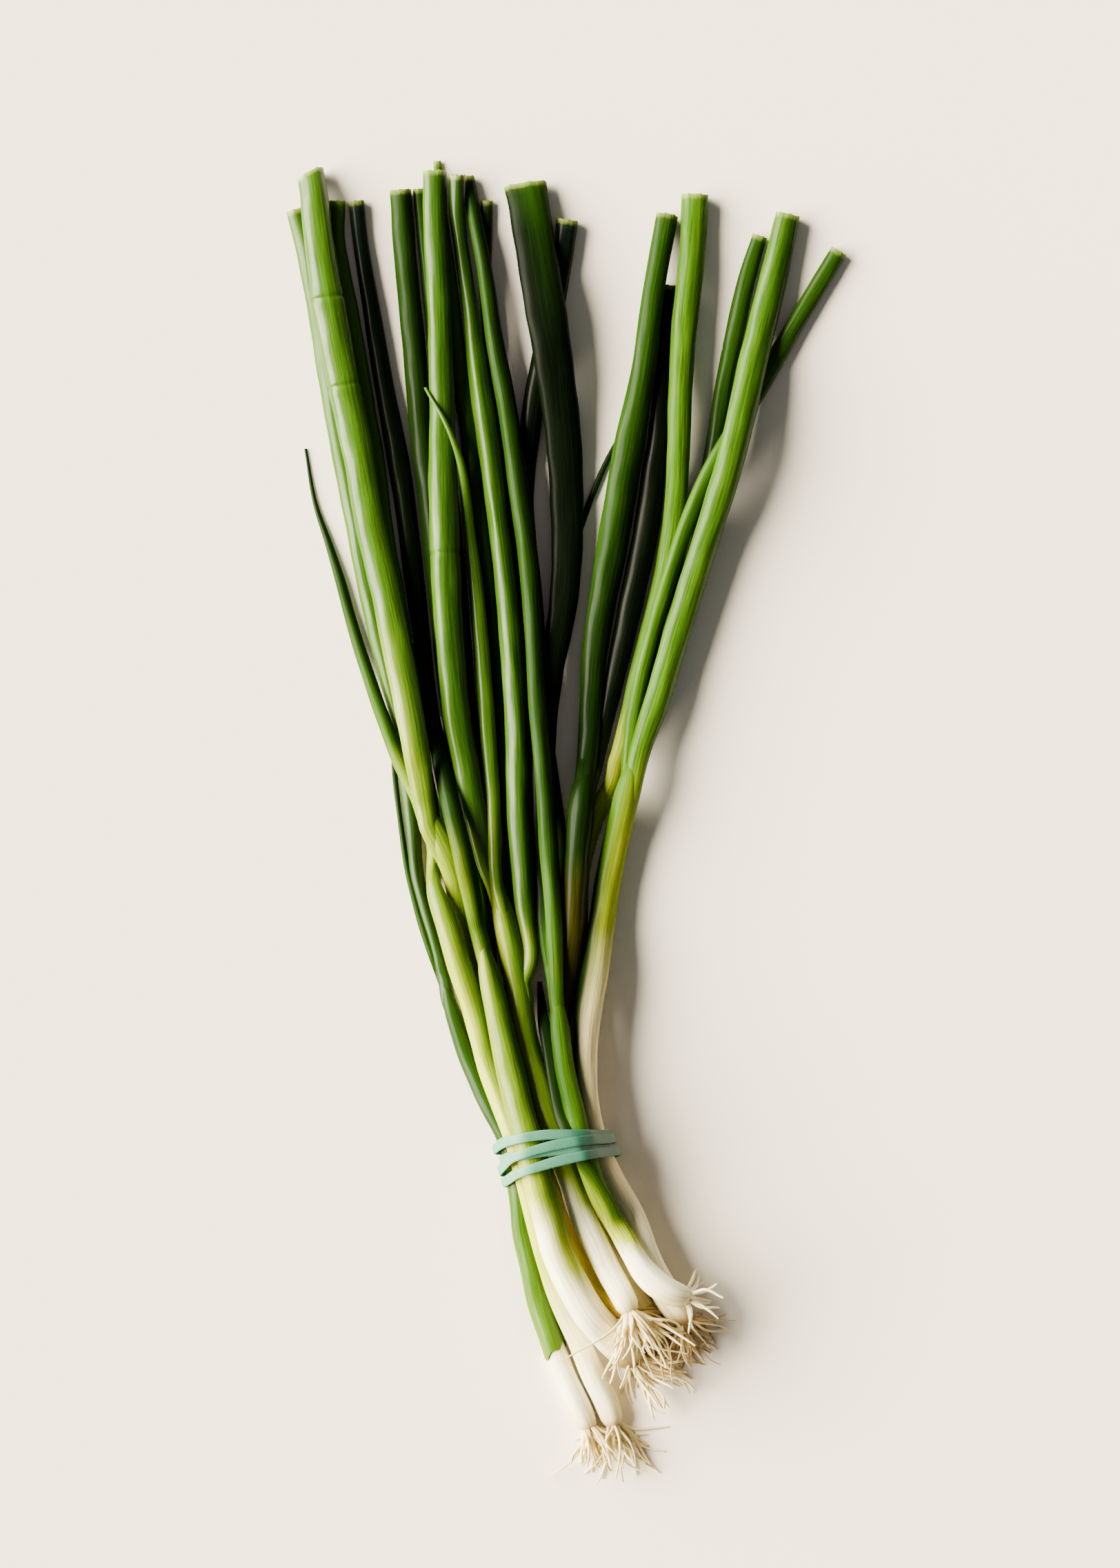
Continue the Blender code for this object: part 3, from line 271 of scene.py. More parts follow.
                (5.4, 8, 8.4, 4.6), (8.2, 21, 7, 4.8), (12.4, 40, 6, 5.6), (16.7, 60, 5, 6.8),
                (21, 80, 4.5, 7), (23.6, 100, 4, 6.6), (24.8, 120, 4, 5.8), (26.4, 146, 4, 5),
            ]),
            ("cut", 0.8, [
                (-1.6, -26, 5.5, 4), (-5, -8, 3.4, 4.4), (-7.6, 20, 3, 4.8), (-10.2, 57, 3, 4.9),
                (-13.4, 88, 3, 5.4), (-11.4, 106, 3, 5.8), (-7.8, 126, 3, 5.9), (-4.2, 146, 3, 6),
                (-1.1, 163.7, 3, 6),
            ]),
        ],
    },
    "scallion_9": {
        "shank": [
            (27.6, -143.2, 4, 5), (25, -138.5, 4, 7), (21.5, -132.5, 4, 6.8), (14.6, -119, 4, 6.4),
            (8.4, -105, 4.6, 6.2), (2.8, -92, 5.4, 6), (1.5, -75, 5, 6), (0.6, -50, 3.6, 6),
            (1, -30, 3.2, 6), (1.6, -15, 3.2, 6), (4.6, -2, 3.6, 6.2), (8.6, 8, 4, 6.4),
            (11.4, 15, 4.2, 4.4),
        ],
        "leaves": [
            ("cut", 0.8, [
                (9.4, 9, 4.6, 4.8), (13.5, 20, 5.4, 5), (19.5, 40, 6, 5.6), (25, 60, 6.5, 6),
                (27.8, 80, 7, 6.2), (28.5, 100, 7, 6.3), (29.6, 120, 7, 6.7), (31, 140, 6.5, 7.2),
                (33.2, 160, 6, 7.3), (34, 170.6, 6, 7.4),
            ]),
            ("cut", 0.8, [
                (10.8, 8, 3.6, 4), (16, 20, 2.8, 4.2), (21.6, 36, 2.5, 4.4), (28, 57, 2.5, 4.6),
                (34.8, 80, 2.5, 4.8), (39.5, 100, 2.5, 5), (42.5, 120, 2.5, 5), (44.5, 130, 2.5, 5.2),
                (49.2, 150, 2.5, 4.7), (52.3, 159.2, 2.5, 4.2),
            ]),
        ],
    },
}


def smooth_rows(rows, step):
    """Rows carried through a cubic with the slope of their neighbours at each, every step mm or so."""
    rows = np.array(rows, dtype=float)
    run = runs_of(rows)
    return smooth_at(rows, run, np.linspace(0.0, run[-1], max(3, int(round(run[-1] / step)) + 1)))


def runs_of(rows):
    """The length of the way from the first row to each."""
    return np.concatenate([[0.0], np.cumsum(np.linalg.norm(np.diff(rows[:, :3], axis=0), axis=1))])


def smooth_at(rows, run, at):
    """Rows at other lengths of the way, from a cubic with the slope of the neighbours at each row."""
    slope = np.gradient(rows, run, axis=0)
    k = np.clip(np.searchsorted(run, at, side="right") - 1, 0, len(run) - 2)
    length = (run[k + 1] - run[k])[:, None]
    t = (at - run[k])[:, None] / length
    ease_in = t * t * (3.0 - 2.0 * t)
    lean_start = t * (1.0 - t) ** 2 * length
    lean_end = t * t * (t - 1.0) * length
    between = rows[k] * (1.0 - ease_in) + rows[k + 1] * ease_in
    return between + slope[k] * lean_start + slope[k + 1] * lean_end


def unit(vectors):
    """Vectors brought to a length of one."""
    return vectors / np.linalg.norm(vectors, axis=-1, keepdims=True)


def strands_of(scallions):
    """Every shank, leaf and wrap as a dictionary of points, half widths and half heights, every 3 mm."""
    strands = []
    for plant, parts in scallions.items():
        pieces = [("shank", "open", SHANK_FLAT, parts["shank"])]
        pieces += [("leaf", end, flat, rows) for end, flat, rows in parts["leaves"]]
        pieces += [("wrap", end, flat, rows) for end, flat, rows in parts.get("wraps", [])]
        for kind, end, flat, rows in pieces:
            line = smooth_rows(rows, LAY_STEP)
            strands.append({"plant": plant, "kind": kind, "end": end, "flat": flat,
                            "points": line[:, :3], "half": line[:, 3] / 2.0})
    return strands


def floor_height(points):
    """The surface, with the thickness of the band under the shanks where it goes round them."""
    along = (points[:, :2] - BAND_CENTRE) @ BUNCH_WAY
    near = np.clip(BAND_RISE - np.abs(along) / BAND_REACH, 0.0, 1.0)
    return BAND_LIFT * near * near * (3.0 - 2.0 * near)


def lay(strands):
    """Lets the strands sink and eases them apart until none is in another, near their routes in plan."""
    start = np.concatenate([s["points"] for s in strands])
    half = np.concatenate([s["half"] for s in strands])
    sizes = [len(s["half"]) for s in strands]
    flat = np.repeat([s["flat"] for s in strands], sizes)
    owner = np.repeat(np.arange(len(strands)), sizes)
    plant = np.repeat([list(SCALLIONS).index(s["plant"]) for s in strands], sizes)
    leaf = np.repeat([s["kind"] == "leaf" for s in strands], sizes)
    wrap = np.repeat([s["kind"] == "wrap" for s in strands], sizes)
    loose = np.repeat([s["plant"] in LOOSE_PLANTS for s in strands], sizes)
    run = np.concatenate([np.arange(size) * LAY_STEP for size in sizes])
    first = np.concatenate([[0], np.cumsum(sizes)])
    inner = np.ones(len(half), dtype=bool)
    inner[first[:-1]] = False
    inner[first[1:] - 1] = False
    middle = np.flatnonzero(inner)
    held, holder = fork_holds(start, first, plant, strands)
    rooted = start[held] - start[holder]
    loose &= start[:, 1] < LOOSE_BELOW
    share = np.where(loose, LOOSE_SHARE, PLAN_SHARE)[:, None]
    hold = np.where(loose, LOOSE_HOLD, HOLD_IN_PLAN)[:, None]
    place = start * np.array([1.0, 1.0, START_RISE])
    for count in range(LAY_ROUNDS):
        if count % PAIR_ROUNDS == 0:
            first_of, second_of = near_pairs(place, owner, plant, leaf, wrap)
            reach = half[first_of] + half[second_of] + LAY_GAP
            kin = plant[first_of] == plant[second_of]
            spread = np.clip((run[first_of] + run[second_of]) / 2.0 / FORK_RUN, 0.0, 1.0)
            stuck = wrap[first_of] | wrap[second_of]
            reach = np.where(kin & stuck, reach * WRAP_SHARE, np.where(kin, reach * spread, reach))
            squash = (half[first_of] * flat[first_of] + half[second_of] * flat[second_of])
            squash = squash / (half[first_of] + half[second_of])
        way = np.zeros_like(place)
        way[middle] = place[middle + 1] - place[middle - 1]
        way[first[:-1]] = place[first[:-1] + 1] - place[first[:-1]]
        way[first[1:] - 1] = place[first[1:] - 1] - place[first[1:] - 2]
        way = unit(way)
        late = count > LAY_ROUNDS * SINK_SHARE
        if not late:
            place[:, 2] -= SINK_PER_ROUND
        apart = place[first_of] - place[second_of]
        apart -= np.sum(apart * way[second_of], axis=1)[:, None] * way[second_of]
        apart[:, 2] /= squash
        far = np.linalg.norm(apart, axis=1) + 1e-6
        push = np.clip(reach - far, 0.0, PUSH_MOST) / far * PUSH_SHARE
        move = apart * push[:, None]
        move[:, 2] *= squash
        total = np.zeros_like(place)
        hits = np.zeros(len(place))
        np.add.at(total, first_of, move)
        np.add.at(total, second_of, -move)
        np.add.at(hits, first_of, push > 0)
        np.add.at(hits, second_of, push > 0)
        total[:, :2] *= share
        place += total / np.maximum(hits, 1.0)[:, None] ** 0.5
        off = place - start
        if not late:
            off[:, :2] *= 1.0 - hold
        eased = off.copy()
        eased[middle] = (off[middle - 1] + off[middle + 1]) / 2.0
        off += (EASE if not late else LATE_EASE) * (eased - off)
        place = start + off
        place[:, 2] = np.maximum(place[:, 2], floor_height(place) + half * flat)
        place[held] = place[holder] + rooted
    for i, s in enumerate(strands):
        s["points"] = place[first[i]:first[i + 1]]
    return strands


def fork_holds(start, first, plant, strands):
    """The first points of each leaf and wrap, and the points of its own shank that carry them."""
    held, holder = [], []
    for i, s in enumerate(strands):
        if s["kind"] == "shank":
            trunk = np.arange(first[i], first[i + 1])
        else:
            for k in range(first[i], first[i] + HELD_POINTS):
                held.append(k)
                holder.append(trunk[np.argmin(np.linalg.norm(start[trunk] - start[k], axis=1))])
    return np.array(held), np.array(holder)


def near_pairs(place, owner, plant, leaf, wrap):
    """Pairs of points close enough to meet: of different plants, two leaves, or a wrap and its shank."""
    gap = np.abs(place[:, None, 1] - place[None, :, 1]) < PAIR_ALONG
    gap &= np.abs(place[:, None, 0] - place[None, :, 0]) < LAY_NEAR
    gap &= owner[:, None] < owner[None, :]
    kin = plant[:, None] == plant[None, :]
    both = leaf[:, None] & leaf[None, :]
    some = wrap[:, None] | wrap[None, :]
    first_of, second_of = np.nonzero(gap & (~kin | both | some))
    return np.concatenate([first_of, second_of]), np.concatenate([second_of, first_of])


strands = lay(strands_of(SCALLIONS))


# How a stem or leaf is drawn. Each is a hollow tube of plant skin, grown in one piece: a shank is
# nearly round, a leaf is flattened and softly ridged, with dents, cross folds and fine ribs.
SEED = 40
SURFACE = 0.3
TUBE_STEP = 1.5
TUBE_SIDES = 32
WAY_REACH = 1.2
LEAST_STEP = 0.1
LEAST_WIDE = 0.15
LEAST_TALL = 0.12
TWIST = 0.25
TWIST_REACH = 37.0
TWIST_SHIFT = 6.0
# The lobes round and the reach along of each dent wave, and how much they are all drawn out.
DENT_WAVES = ((1, 31.0), (2, 19.0), (3, 12.0), (2, 8.0), (5, 23.0))
DENT_SLOW = 1.6
# The round lower end of a bulb, and the upper end of a shank, which closes inside its leaves.
BULB_ROUND = 2.6
BULB_LEAST = 0.16
SHANK_CLOSE = 20.0
CLOSE_MOST = 0.94
CLOSE_POWER = 1.8
# A cut end: its wall, the depths of the rings inside, its rounded rim and the waves of the cut.
WALL = 0.55
HOLLOW = (0.8, 3.5, 9.0)
RIM_SHARE = 0.4
RIM_FORWARD = 0.13
RIM_GAIN = 1.6
CUT_BLEND = 12.0
CUT_WAVES = ((7.0, 0.12, 1.0), (13.0, 0.10, 2.0))
# How far below a cut, and how much, the outer skin turns to the rim's pale green.
RIM_BLEND_REACH = 0.8
RIM_BLEND_SHARE = 0.6
# A cross fold: where rings stand near it, its groove and the lip on both sides of it.
FOLD_NEAR = (-2.4, -1.2, -0.7, -0.35, 0.0, 0.35, 0.7, 1.2, 2.4)
FOLD_WIDTH = 0.5
LIP_SHARE = 0.4
LIP_AT = 1.6
LIP_WIDTH = 1.2
# A wrinkled stretch: how it begins and ends, and the waves along it, which bend round it.
WRINKLE_EASE = 8.0
WRINKLE_RATE = 1.9
WRINKLE_BEND = 3.0
WRINKLE_REACH = (7.0, 4.0)
# How a leaf starts inside its shank.
FORK_STEPS = 8
FORK_WIDE = 0.9
FORK_NARROW = 0.25
FORK_BLEND = 26.0
# A thin outer skin: the waves of its torn ends, coarse and fine, and how it ripples.
SHEET_SIDES = 20
SHEET_THICK = 0.22
TEAR_START = (7.0, 17.0)
TEAR_END = (8.0, 19.0)
TEAR_FINE = 0.6
RIPPLE = 0.12
RIPPLE_ROUND = 9.0
RIPPLE_REACH = 3.0
# Where the colour turns from painted light on the left side to painted shade on the right side, and the
# size and spacing of the places of the grain.
LIT_TO_SHADE_START = 0.8
LIT_TO_SHADE_WIDTH = 1.3
GRAIN_RADIUS = 3.5
GRAIN_APART = 31.0
SHEET_GRAIN_APART = 17.0

WHITE = (0.94, 0.89, 0.64)
CREAM = (0.70, 0.61, 0.33)
TAN = (0.30, 0.18, 0.055)
IVORY = (0.88, 0.78, 0.44)
STRAW = (0.68, 0.52, 0.20)
PALE = (0.37, 0.43, 0.016)
YELLOW = (0.50, 0.38, 0.015)
SPRING = (0.13, 0.19, 0.0016)
LIME = (0.18, 0.235, 0.003)
MEADOW = (0.085, 0.165, 0.0025)
GRASS = (0.034, 0.095, 0.0012)
LEAF = (0.0095, 0.036, 0.0005)
# The next two greens are painted shade: a dark leaf green darkened further for shaded sides and shaded
# leaves, and a near black for leaves that lie in deep shadow.
DARK_GREEN_AND_SHADE = (0.0030, 0.0120, 0.0004)
DEEP_SHADE_GREEN = (0.0006, 0.0022, 0.0002)
OLIVE = (0.026, 0.024, 0.0012)
BLUISH = (0.0018, 0.0055, 0.0032)
RIM = (0.26, 0.36, 0.07)
# The dark green inside a cut end is painted shade in the hollow.
INSIDE_SHADE = (0.03, 0.07, 0.004)


def smooth_step(t):
    """Rises from 0 to 1 as t does, level at both ends: 3t^2 - 2t^3."""
    t = np.clip(t, 0.0, 1.0)
    return t * t * (3.0 - 2.0 * t)


def look(keys, facet=2.0, roll=0.0, stripe=0.4, dent=0.03, folds=(), slant=0.0, wrinkle=None,
         gloss=0.12, aside=0.0):
    """How one strand is finished. keys are rows of y, left colour and right colour: the left colour is
    mostly a painted highlight for the lit left side and the right colour mostly painted shade for the
    shaded right side, over the skin's own colour. folds are rows of y and depth. facet squares its section
    off, roll turns that, slant leans its cut end in mm, and wrinkle is a low y, a high y and an amount.
    stripe and gloss are shares, and aside is in mm."""
    return {"keys": keys, "facet": facet, "roll": roll, "stripe": stripe, "dent": dent, "folds": folds,
            "slant": slant, "wrinkle": wrinkle, "gloss": gloss, "aside": aside}


def colours_at(keys, y, across):
    """Colours by place along the bunch. Each key's left colour turns to its right one across the strand:
    painted light on the lit left side, painted shade on the shaded right side, partly the skin's own
    colour.
    """
    places = [key[0] for key in keys]
    left = np.array([key[1] for key in keys])
    right = np.array([key[-1] for key in keys])
    share = smooth_step((across + LIT_TO_SHADE_START) / LIT_TO_SHADE_WIDTH)[..., None]
    left = np.stack([np.interp(y, places, left[:, k]) for k in range(3)], axis=-1)
    right = np.stack([np.interp(y, places, right[:, k]) for k in range(3)], axis=-1)
    return left + (right - left) * share


def frames(points):
    """The way a line runs at each point, and the level and upright directions across it."""
    way = unit(np.gradient(points, axis=0))
    return (way, *across_of(way))


def across_of(way):
    """The level and upright directions across a way."""
    level = unit(np.cross(way, np.array([0.0, 0.0, 1.0])))
    return level, np.cross(level, way)


def tube_faces(rings, sides):
    """Quads between neighbouring rings, and a fan round a middle point that closes each end."""
    ring, side = np.meshgrid(np.arange(rings - 1), np.arange(sides), indexing="ij")
    after = (side + 1) % sides
    quads = np.stack([ring * sides + side, (ring + 1) * sides + side,
                      (ring + 1) * sides + after, ring * sides + after], axis=-1).reshape(-1, 4)
    spin = np.arange(sides)
    last = (rings - 1) * sides
    start = np.stack([np.full(sides, rings * sides), spin, (spin + 1) % sides], axis=1)
    end = np.stack([np.full(sides, rings * sides + 1), last + (spin + 1) % sides, last + spin], axis=1)
    return quads, np.concatenate([start, end])


def tube(strand, finish, seed):
    """A strand's skin on a grid of runs v and turns t. A point stands off the line by the half width
    times a soft polygon's radius, dents made of sine waves and a groove at each fold. A cut end rolls
    over its rim and goes back down inside."""
    rows = np.column_stack([strand["points"], strand["half"]])
    run = runs_of(rows)
    length = run[-1]
    folds = [[np.interp(y, rows[:, 1], run), depth] for y, depth in finish["folds"]]
    folds = np.array(folds).reshape(-1, 2)
    at = np.linspace(0.0, length, int(length / TUBE_STEP) + 1)
    at = np.sort(np.concatenate([at] + [fold + np.array(FOLD_NEAR) for fold in folds[:, 0]]))
    at = at[(at >= 0.0) & (at <= length)]
    at = at[np.concatenate([[True], np.diff(at) > LEAST_STEP])]
    at[-1] = length
    inset = np.zeros(len(at))
    forward = np.zeros(len(at))
    if strand["end"] == "cut":
        at = np.concatenate([at, [length, length], length - np.array(HOLLOW)])
        inset = np.concatenate([inset, [RIM_SHARE * WALL], np.full(len(HOLLOW) + 1, WALL)])
        forward = np.concatenate([forward, [RIM_FORWARD], np.zeros(len(HOLLOW) + 1)])
    line = smooth_at(rows, run, at)
    way = unit((smooth_at(rows, run, np.minimum(at + WAY_REACH, length))
                - smooth_at(rows, run, np.maximum(at - WAY_REACH, 0.0)))[:, :3])
    level, upright = across_of(way)
    half = line[:, 3]
    if strand["kind"] == "shank":
        opening = 1.0 - np.clip(at / BULB_ROUND, 0.0, 1.0)
        half = half * np.sqrt(np.clip(1.0 - opening ** 2, BULB_LEAST, 1.0))
        closing = np.clip(1.0 - (length - at) / SHANK_CLOSE, 0.0, 1.0)
        half = half * (1.0 - CLOSE_MOST * closing ** CLOSE_POWER)
    draw = np.random.default_rng(SEED + seed)
    turn = np.arange(TUBE_SIDES)[None, :] * 2.0 * math.pi / TUBE_SIDES
    v = at[:, None]
    bent = turn - finish["roll"] - TWIST * np.sin(v / TWIST_REACH + draw.uniform(0.0, TWIST_SHIFT))
    power = finish["facet"]
    radius = (np.abs(np.cos(bent)) ** power + np.abs(np.sin(bent)) ** power) ** (-1.0 / power)
    for lobes, reach in DENT_WAVES:
        shift = draw.uniform(0.0, 2.0 * math.pi, 2)
        radius = radius * (1.0 + finish["dent"] * 0.5 * np.sin(lobes * turn + shift[0])
                           * np.sin(2.0 * math.pi * v / reach / DENT_SLOW + shift[1]))
    for fold, depth in folds:
        groove = np.exp(-((v - fold) / FOLD_WIDTH) ** 2)
        lip = np.exp(-((np.abs(v - fold) - LIP_AT) / LIP_WIDTH) ** 2)
        radius = radius * (1.0 - depth * groove + LIP_SHARE * depth * lip)
    y = line[:, 1][:, None] + 0.0 * turn
    if finish["wrinkle"] is not None:
        low, high, amount = finish["wrinkle"]
        zone = smooth_step((y - low) / WRINKLE_EASE) * smooth_step((high - y) / WRINKLE_EASE)
        bends = WRINKLE_BEND * np.sin(2.0 * turn + v / WRINKLE_REACH[0])
        crumple = np.sin(v * WRINKLE_RATE + bends) * np.sin(5.0 * turn + v / WRINKLE_REACH[1])
        radius = radius * (1.0 + amount * zone * crumple)
    wide = half[:, None] * radius - inset[:, None]
    tall = half[:, None] * radius * strand["flat"] - inset[:, None]
    wide = np.maximum(wide, LEAST_WIDE)
    tall = np.maximum(tall, LEAST_TALL)
    if strand["end"] == "cut":
        ease = smooth_step((v - length + CUT_BLEND) / CUT_BLEND)
        ragged = sum(high * np.sin(lobes * turn + shift * seed) for lobes, high, shift in CUT_WAVES)
        forward = forward[:, None] + (finish["slant"] * np.cos(turn) + ragged) * ease
    else:
        forward = forward[:, None] + 0.0 * turn
    points = (line[:, None, :3] + (wide * np.cos(turn))[..., None] * level[:, None]
              + (tall * np.sin(turn))[..., None] * upright[:, None] + forward[..., None] * way[:, None])
    points[..., 2] = np.maximum(points[..., 2], SURFACE)
    # across runs from the lit left side to the shaded right side, and the colours painted along it stand in
    # for light and shade.
    across = np.cos(turn) + 0.0 * v
    tint = colours_at(finish["keys"], points[..., 1], across)
    if "below" in strand:
        grown = smooth_step((v - strand["lead"]) / FORK_BLEND)[..., None]
        tint = colours_at(strand["below"], points[..., 1], across) * (1.0 - grown) + tint * grown
    edge = smooth_step(inset / WALL)[:, None, None]
    # Painted shade: the rings inside a cut end darken towards the hollow's dark green with depth.
    hollow_shade = smooth_step((length - at) / HOLLOW[1])[:, None, None] * (inset > 0)[:, None, None]
    tint = tint + (np.array(RIM) - tint) * np.minimum(edge * RIM_GAIN, 1.0)
    tint = tint + (np.array(INSIDE_SHADE) - tint) * hollow_shade
    # Just below the cut, the outer skin turns part way to the rim's pale green.
    if strand["end"] == "cut":
        rim_blend = np.exp(-((length - at) / RIM_BLEND_REACH) ** 2)[:, None, None] * (inset == 0)[:, None, None]
        tint = tint + (np.array(RIM) - tint) * RIM_BLEND_SHARE * rim_blend
    grain = np.stack([GRAIN_RADIUS * np.cos(turn) + 0.0 * v, GRAIN_RADIUS * np.sin(turn) + 0.0 * v,
                      v + 0.0 * turn], axis=-1) + GRAIN_APART * seed
    ends = np.stack([points[0].mean(axis=0), points[-1].mean(axis=0)])
    quads, fans = tube_faces(len(at), TUBE_SIDES)
    return {"points": np.concatenate([points.reshape(-1, 3), ends]), "quads": quads, "fans": fans,
            "tint": np.concatenate([tint.reshape(-1, 3), tint[0, :1], tint[-1, :1]]),
            "grain": np.concatenate([grain.reshape(-1, 3), grain[0, :1], grain[-1, :1]]),
            "stripe": np.full(points[..., 0].size + 2, finish["stripe"]),
            "gloss": np.full(points[..., 0].size + 2, finish["gloss"])}


def rooted(strand, shank, keys, aside):
    """A leaf's line carried back inside its shank: the gap between the two closes as a smooth step of the
    way back, and the leaf narrows, so that it comes out of the shank's skin at a slant. Its start may
    be moved aside along x, which fades the same way up the leaf."""
    nearest = int(np.argmin(np.linalg.norm(shank["points"] - strand["points"][0], axis=1)))
    back = np.arange(min(FORK_STEPS, nearest), 0, -1)
    share = back / FORK_STEPS
    fade = 1.0 - smooth_step(np.arange(len(strand["half"])) / FORK_STEPS)
    moved = strand["points"] + fade[:, None] * np.array([aside, 0.0, 0.0])
    offset = moved[0] - shank["points"][nearest]
    points = shank["points"][nearest - back] + offset * (1.0 - smooth_step(share))[:, None]
    half = np.minimum(strand["half"][0], shank["half"][nearest - back]) * (FORK_WIDE - FORK_NARROW * share)
    widen = FORK_WIDE + (1.0 - FORK_WIDE) * smooth_step(np.arange(len(strand["half"])) / FORK_STEPS)
    lead = len(back) * LAY_STEP
    return {**strand, "points": np.concatenate([points, moved]), "lead": lead, "below": keys,
            "half": np.concatenate([half, strand["half"] * widen])}


def sheet(strand, seed, low, high, arc, lift, colours, ragged, gloss, stripe):
    """A thin skin over part of a strand: a grid of run v and turn t that stands off the strand by a lift,
    with both ends cut along sums of sine waves. The outer side is followed round to the inner side, and the
    ends are closed between the two. Its four colours are low right, low left, high right, high left; the
    left ones are given paler as a painted highlight on the lit side."""
    rows = np.column_stack([strand["points"], strand["half"]])
    run = runs_of(rows)
    draw = np.random.default_rng(SEED * 7 + seed)
    w = np.linspace(0.0, 1.0, SHEET_SIDES)[None, :]
    turn = arc[0] + (arc[1] - arc[0]) * w
    start, end = np.interp([low, high], rows[:, 1], run)
    shift = draw.uniform(0.0, 2.0 * math.pi, 4)
    torn = [np.sin(coarse * w + shift[k]) + TEAR_FINE * np.sin(fine * w + shift[k + 1])
            for k, (coarse, fine) in ((0, TEAR_START), (2, TEAR_END))]
    first = start + ragged[0] * torn[0]
    last = end + ragged[1] * torn[1]
    u = np.linspace(0.0, 1.0, max(4, int((end - start) / TUBE_STEP)))[:, None]
    v = first + (last - first) * u
    line = smooth_at(rows, run, np.clip(v, 0.0, run[-1]).ravel()).reshape(*v.shape, 4)
    near = smooth_at(rows, run, np.clip(v + WAY_REACH, 0.0, run[-1]).ravel()).reshape(*v.shape, 4)
    level, upright = across_of(unit((near - line)[..., :3]))
    curl = lift + RIPPLE * np.sin(RIPPLE_ROUND * w + v / RIPPLE_REACH)
    sides = []
    for thick in (SHEET_THICK, 0.0):
        wide = line[..., 3] + curl + thick
        tall = line[..., 3] * strand["flat"] + curl + thick
        sides.append(line[..., :3] + (wide * np.cos(turn))[..., None] * level
                     + (tall * np.sin(turn))[..., None] * upright)
    points = np.concatenate([sides[0], sides[1][:, ::-1]], axis=1)
    points[..., 2] = np.maximum(points[..., 2], SURFACE)
    share = smooth_step(np.concatenate([w + 0.0 * u, (w + 0.0 * u)[:, ::-1]], axis=1))[..., None]
    rise = np.concatenate([u + 0.0 * w, u + 0.0 * w], axis=1)[..., None]
    ends = [np.array(colours[0]) + (np.array(colours[1]) - np.array(colours[0])) * share,
            np.array(colours[2]) + (np.array(colours[3]) - np.array(colours[2])) * share]
    tint = ends[0] + (ends[1] - ends[0]) * rise
    both = np.concatenate([turn + 0.0 * u, (turn + 0.0 * u)[:, ::-1]], axis=1)
    runs = np.concatenate([v, v[:, ::-1]], axis=1)
    grain = np.stack([GRAIN_RADIUS * np.cos(both), GRAIN_RADIUS * np.sin(both), runs], axis=-1)
    grain = grain + SHEET_GRAIN_APART * seed
    count = 2 * SHEET_SIDES
    quads, _ = tube_faces(len(u), count)
    side = np.arange(SHEET_SIDES - 1)
    top = (len(u) - 1) * count
    caps = [np.stack([side, side + 1, count - 2 - side, count - 1 - side], axis=1),
            np.stack([top + count - 1 - side, top + count - 2 - side, top + side + 1, top + side], axis=1)]
    return {"points": points.reshape(-1, 3), "quads": np.concatenate([quads] + caps),
            "fans": np.zeros((0, 3), dtype=int), "tint": tint.reshape(-1, 3), "grain": grain.reshape(-1, 3),
            "stripe": np.full(points[..., 0].size, stripe), "gloss": np.full(points[..., 0].size, gloss)}


class Wire:
    """An output socket of a material's nodes. Arithmetic on it adds the Math node that works it out."""

    def __init__(self, tree, socket=None):
        self.tree = tree
        self.socket = socket

    def add(self, kind, settings=None, sockets=None, output=0):
        """A new node of that kind: its settings are set first, then the values or links of its sockets."""
        node = self.tree.nodes.new("ShaderNode" + kind)
        for name, value in (settings or {}).items():
            setattr(node, name, value)
        for name, value in (sockets or {}).items():
            if isinstance(value, Wire):
                self.tree.links.new(value.socket, node.inputs[name])
            else:
                node.inputs[name].default_value = value
        return Wire(self.tree, node.outputs[output])

    def attribute(self, name, output):
        """What the mesh carries at each point under that name."""
        return self.add("Attribute", {"attribute_name": name}, output=output)

    def math(self, operation, *values):
        return self.add("Math", {"operation": operation}, dict(enumerate(values)))

    def __add__(self, other):
        return self.math("ADD", self, other)

    def __sub__(self, other):
        return self.math("SUBTRACT", self, other)

    def __rsub__(self, other):
        return self.math("SUBTRACT", other, self)

    def __mul__(self, other):
        return self.math("MULTIPLY", self, other)

    __radd__ = __add__
    __rmul__ = __mul__

    def step(self, low, high):
        """0 below low and 1 above high, smooth between."""
        return self.add("MapRange", {"interpolation_type": "SMOOTHSTEP"},
                        {"Value": self, "From Min": low, "From Max": high})

    def scaled(self, factors):
        """A vector with each axis multiplied by its factor."""
        return self.add("VectorMath", {"operation": "MULTIPLY"}, {0: self, 1: factors})

    def noise(self, factors, detail=3.0, rough=0.55):
        """Noise from 0 to 1 over a place that is scaled by the factors."""
        return self.add("TexNoise", {}, {"Vector": self.scaled(factors), "Scale": 1.0, "Detail": detail,
                                         "Roughness": rough})

    def mix(self, other, share, how="MIX"):
        """This colour with another mixed in by a share."""
        return self.add("Mix", {"data_type": "RGBA", "blend_type": how}, {0: share, 6: self, 7: other}, 2)


def new_material(name):
    """A material with a Principled BSDF, its shader node and a first wire to build on."""
    material = bpy.data.materials.new(name)
    material.use_nodes = True
    tree = material.node_tree
    return material, tree.nodes["Principled BSDF"], Wire(tree)


def finish_with(shader, wire, colour, roughness, height, depth, strength):
    """Links colour, roughness and a bump of that depth in metres to the shader."""
    bump = wire.add("Bump", {}, {"Height": height, "Distance": depth, "Strength": strength}, "Normal")
    wire.tree.links.new(colour.socket, shader.inputs["Base Color"])
    wire.tree.links.new(roughness.socket, shader.inputs["Roughness"])
    wire.tree.links.new(bump.socket, shader.inputs["Normal"])


SKIN_RELIEF = 0.0004
SKIN_SPECULAR = 0.02
WAX_ROUGHNESS = 0.27


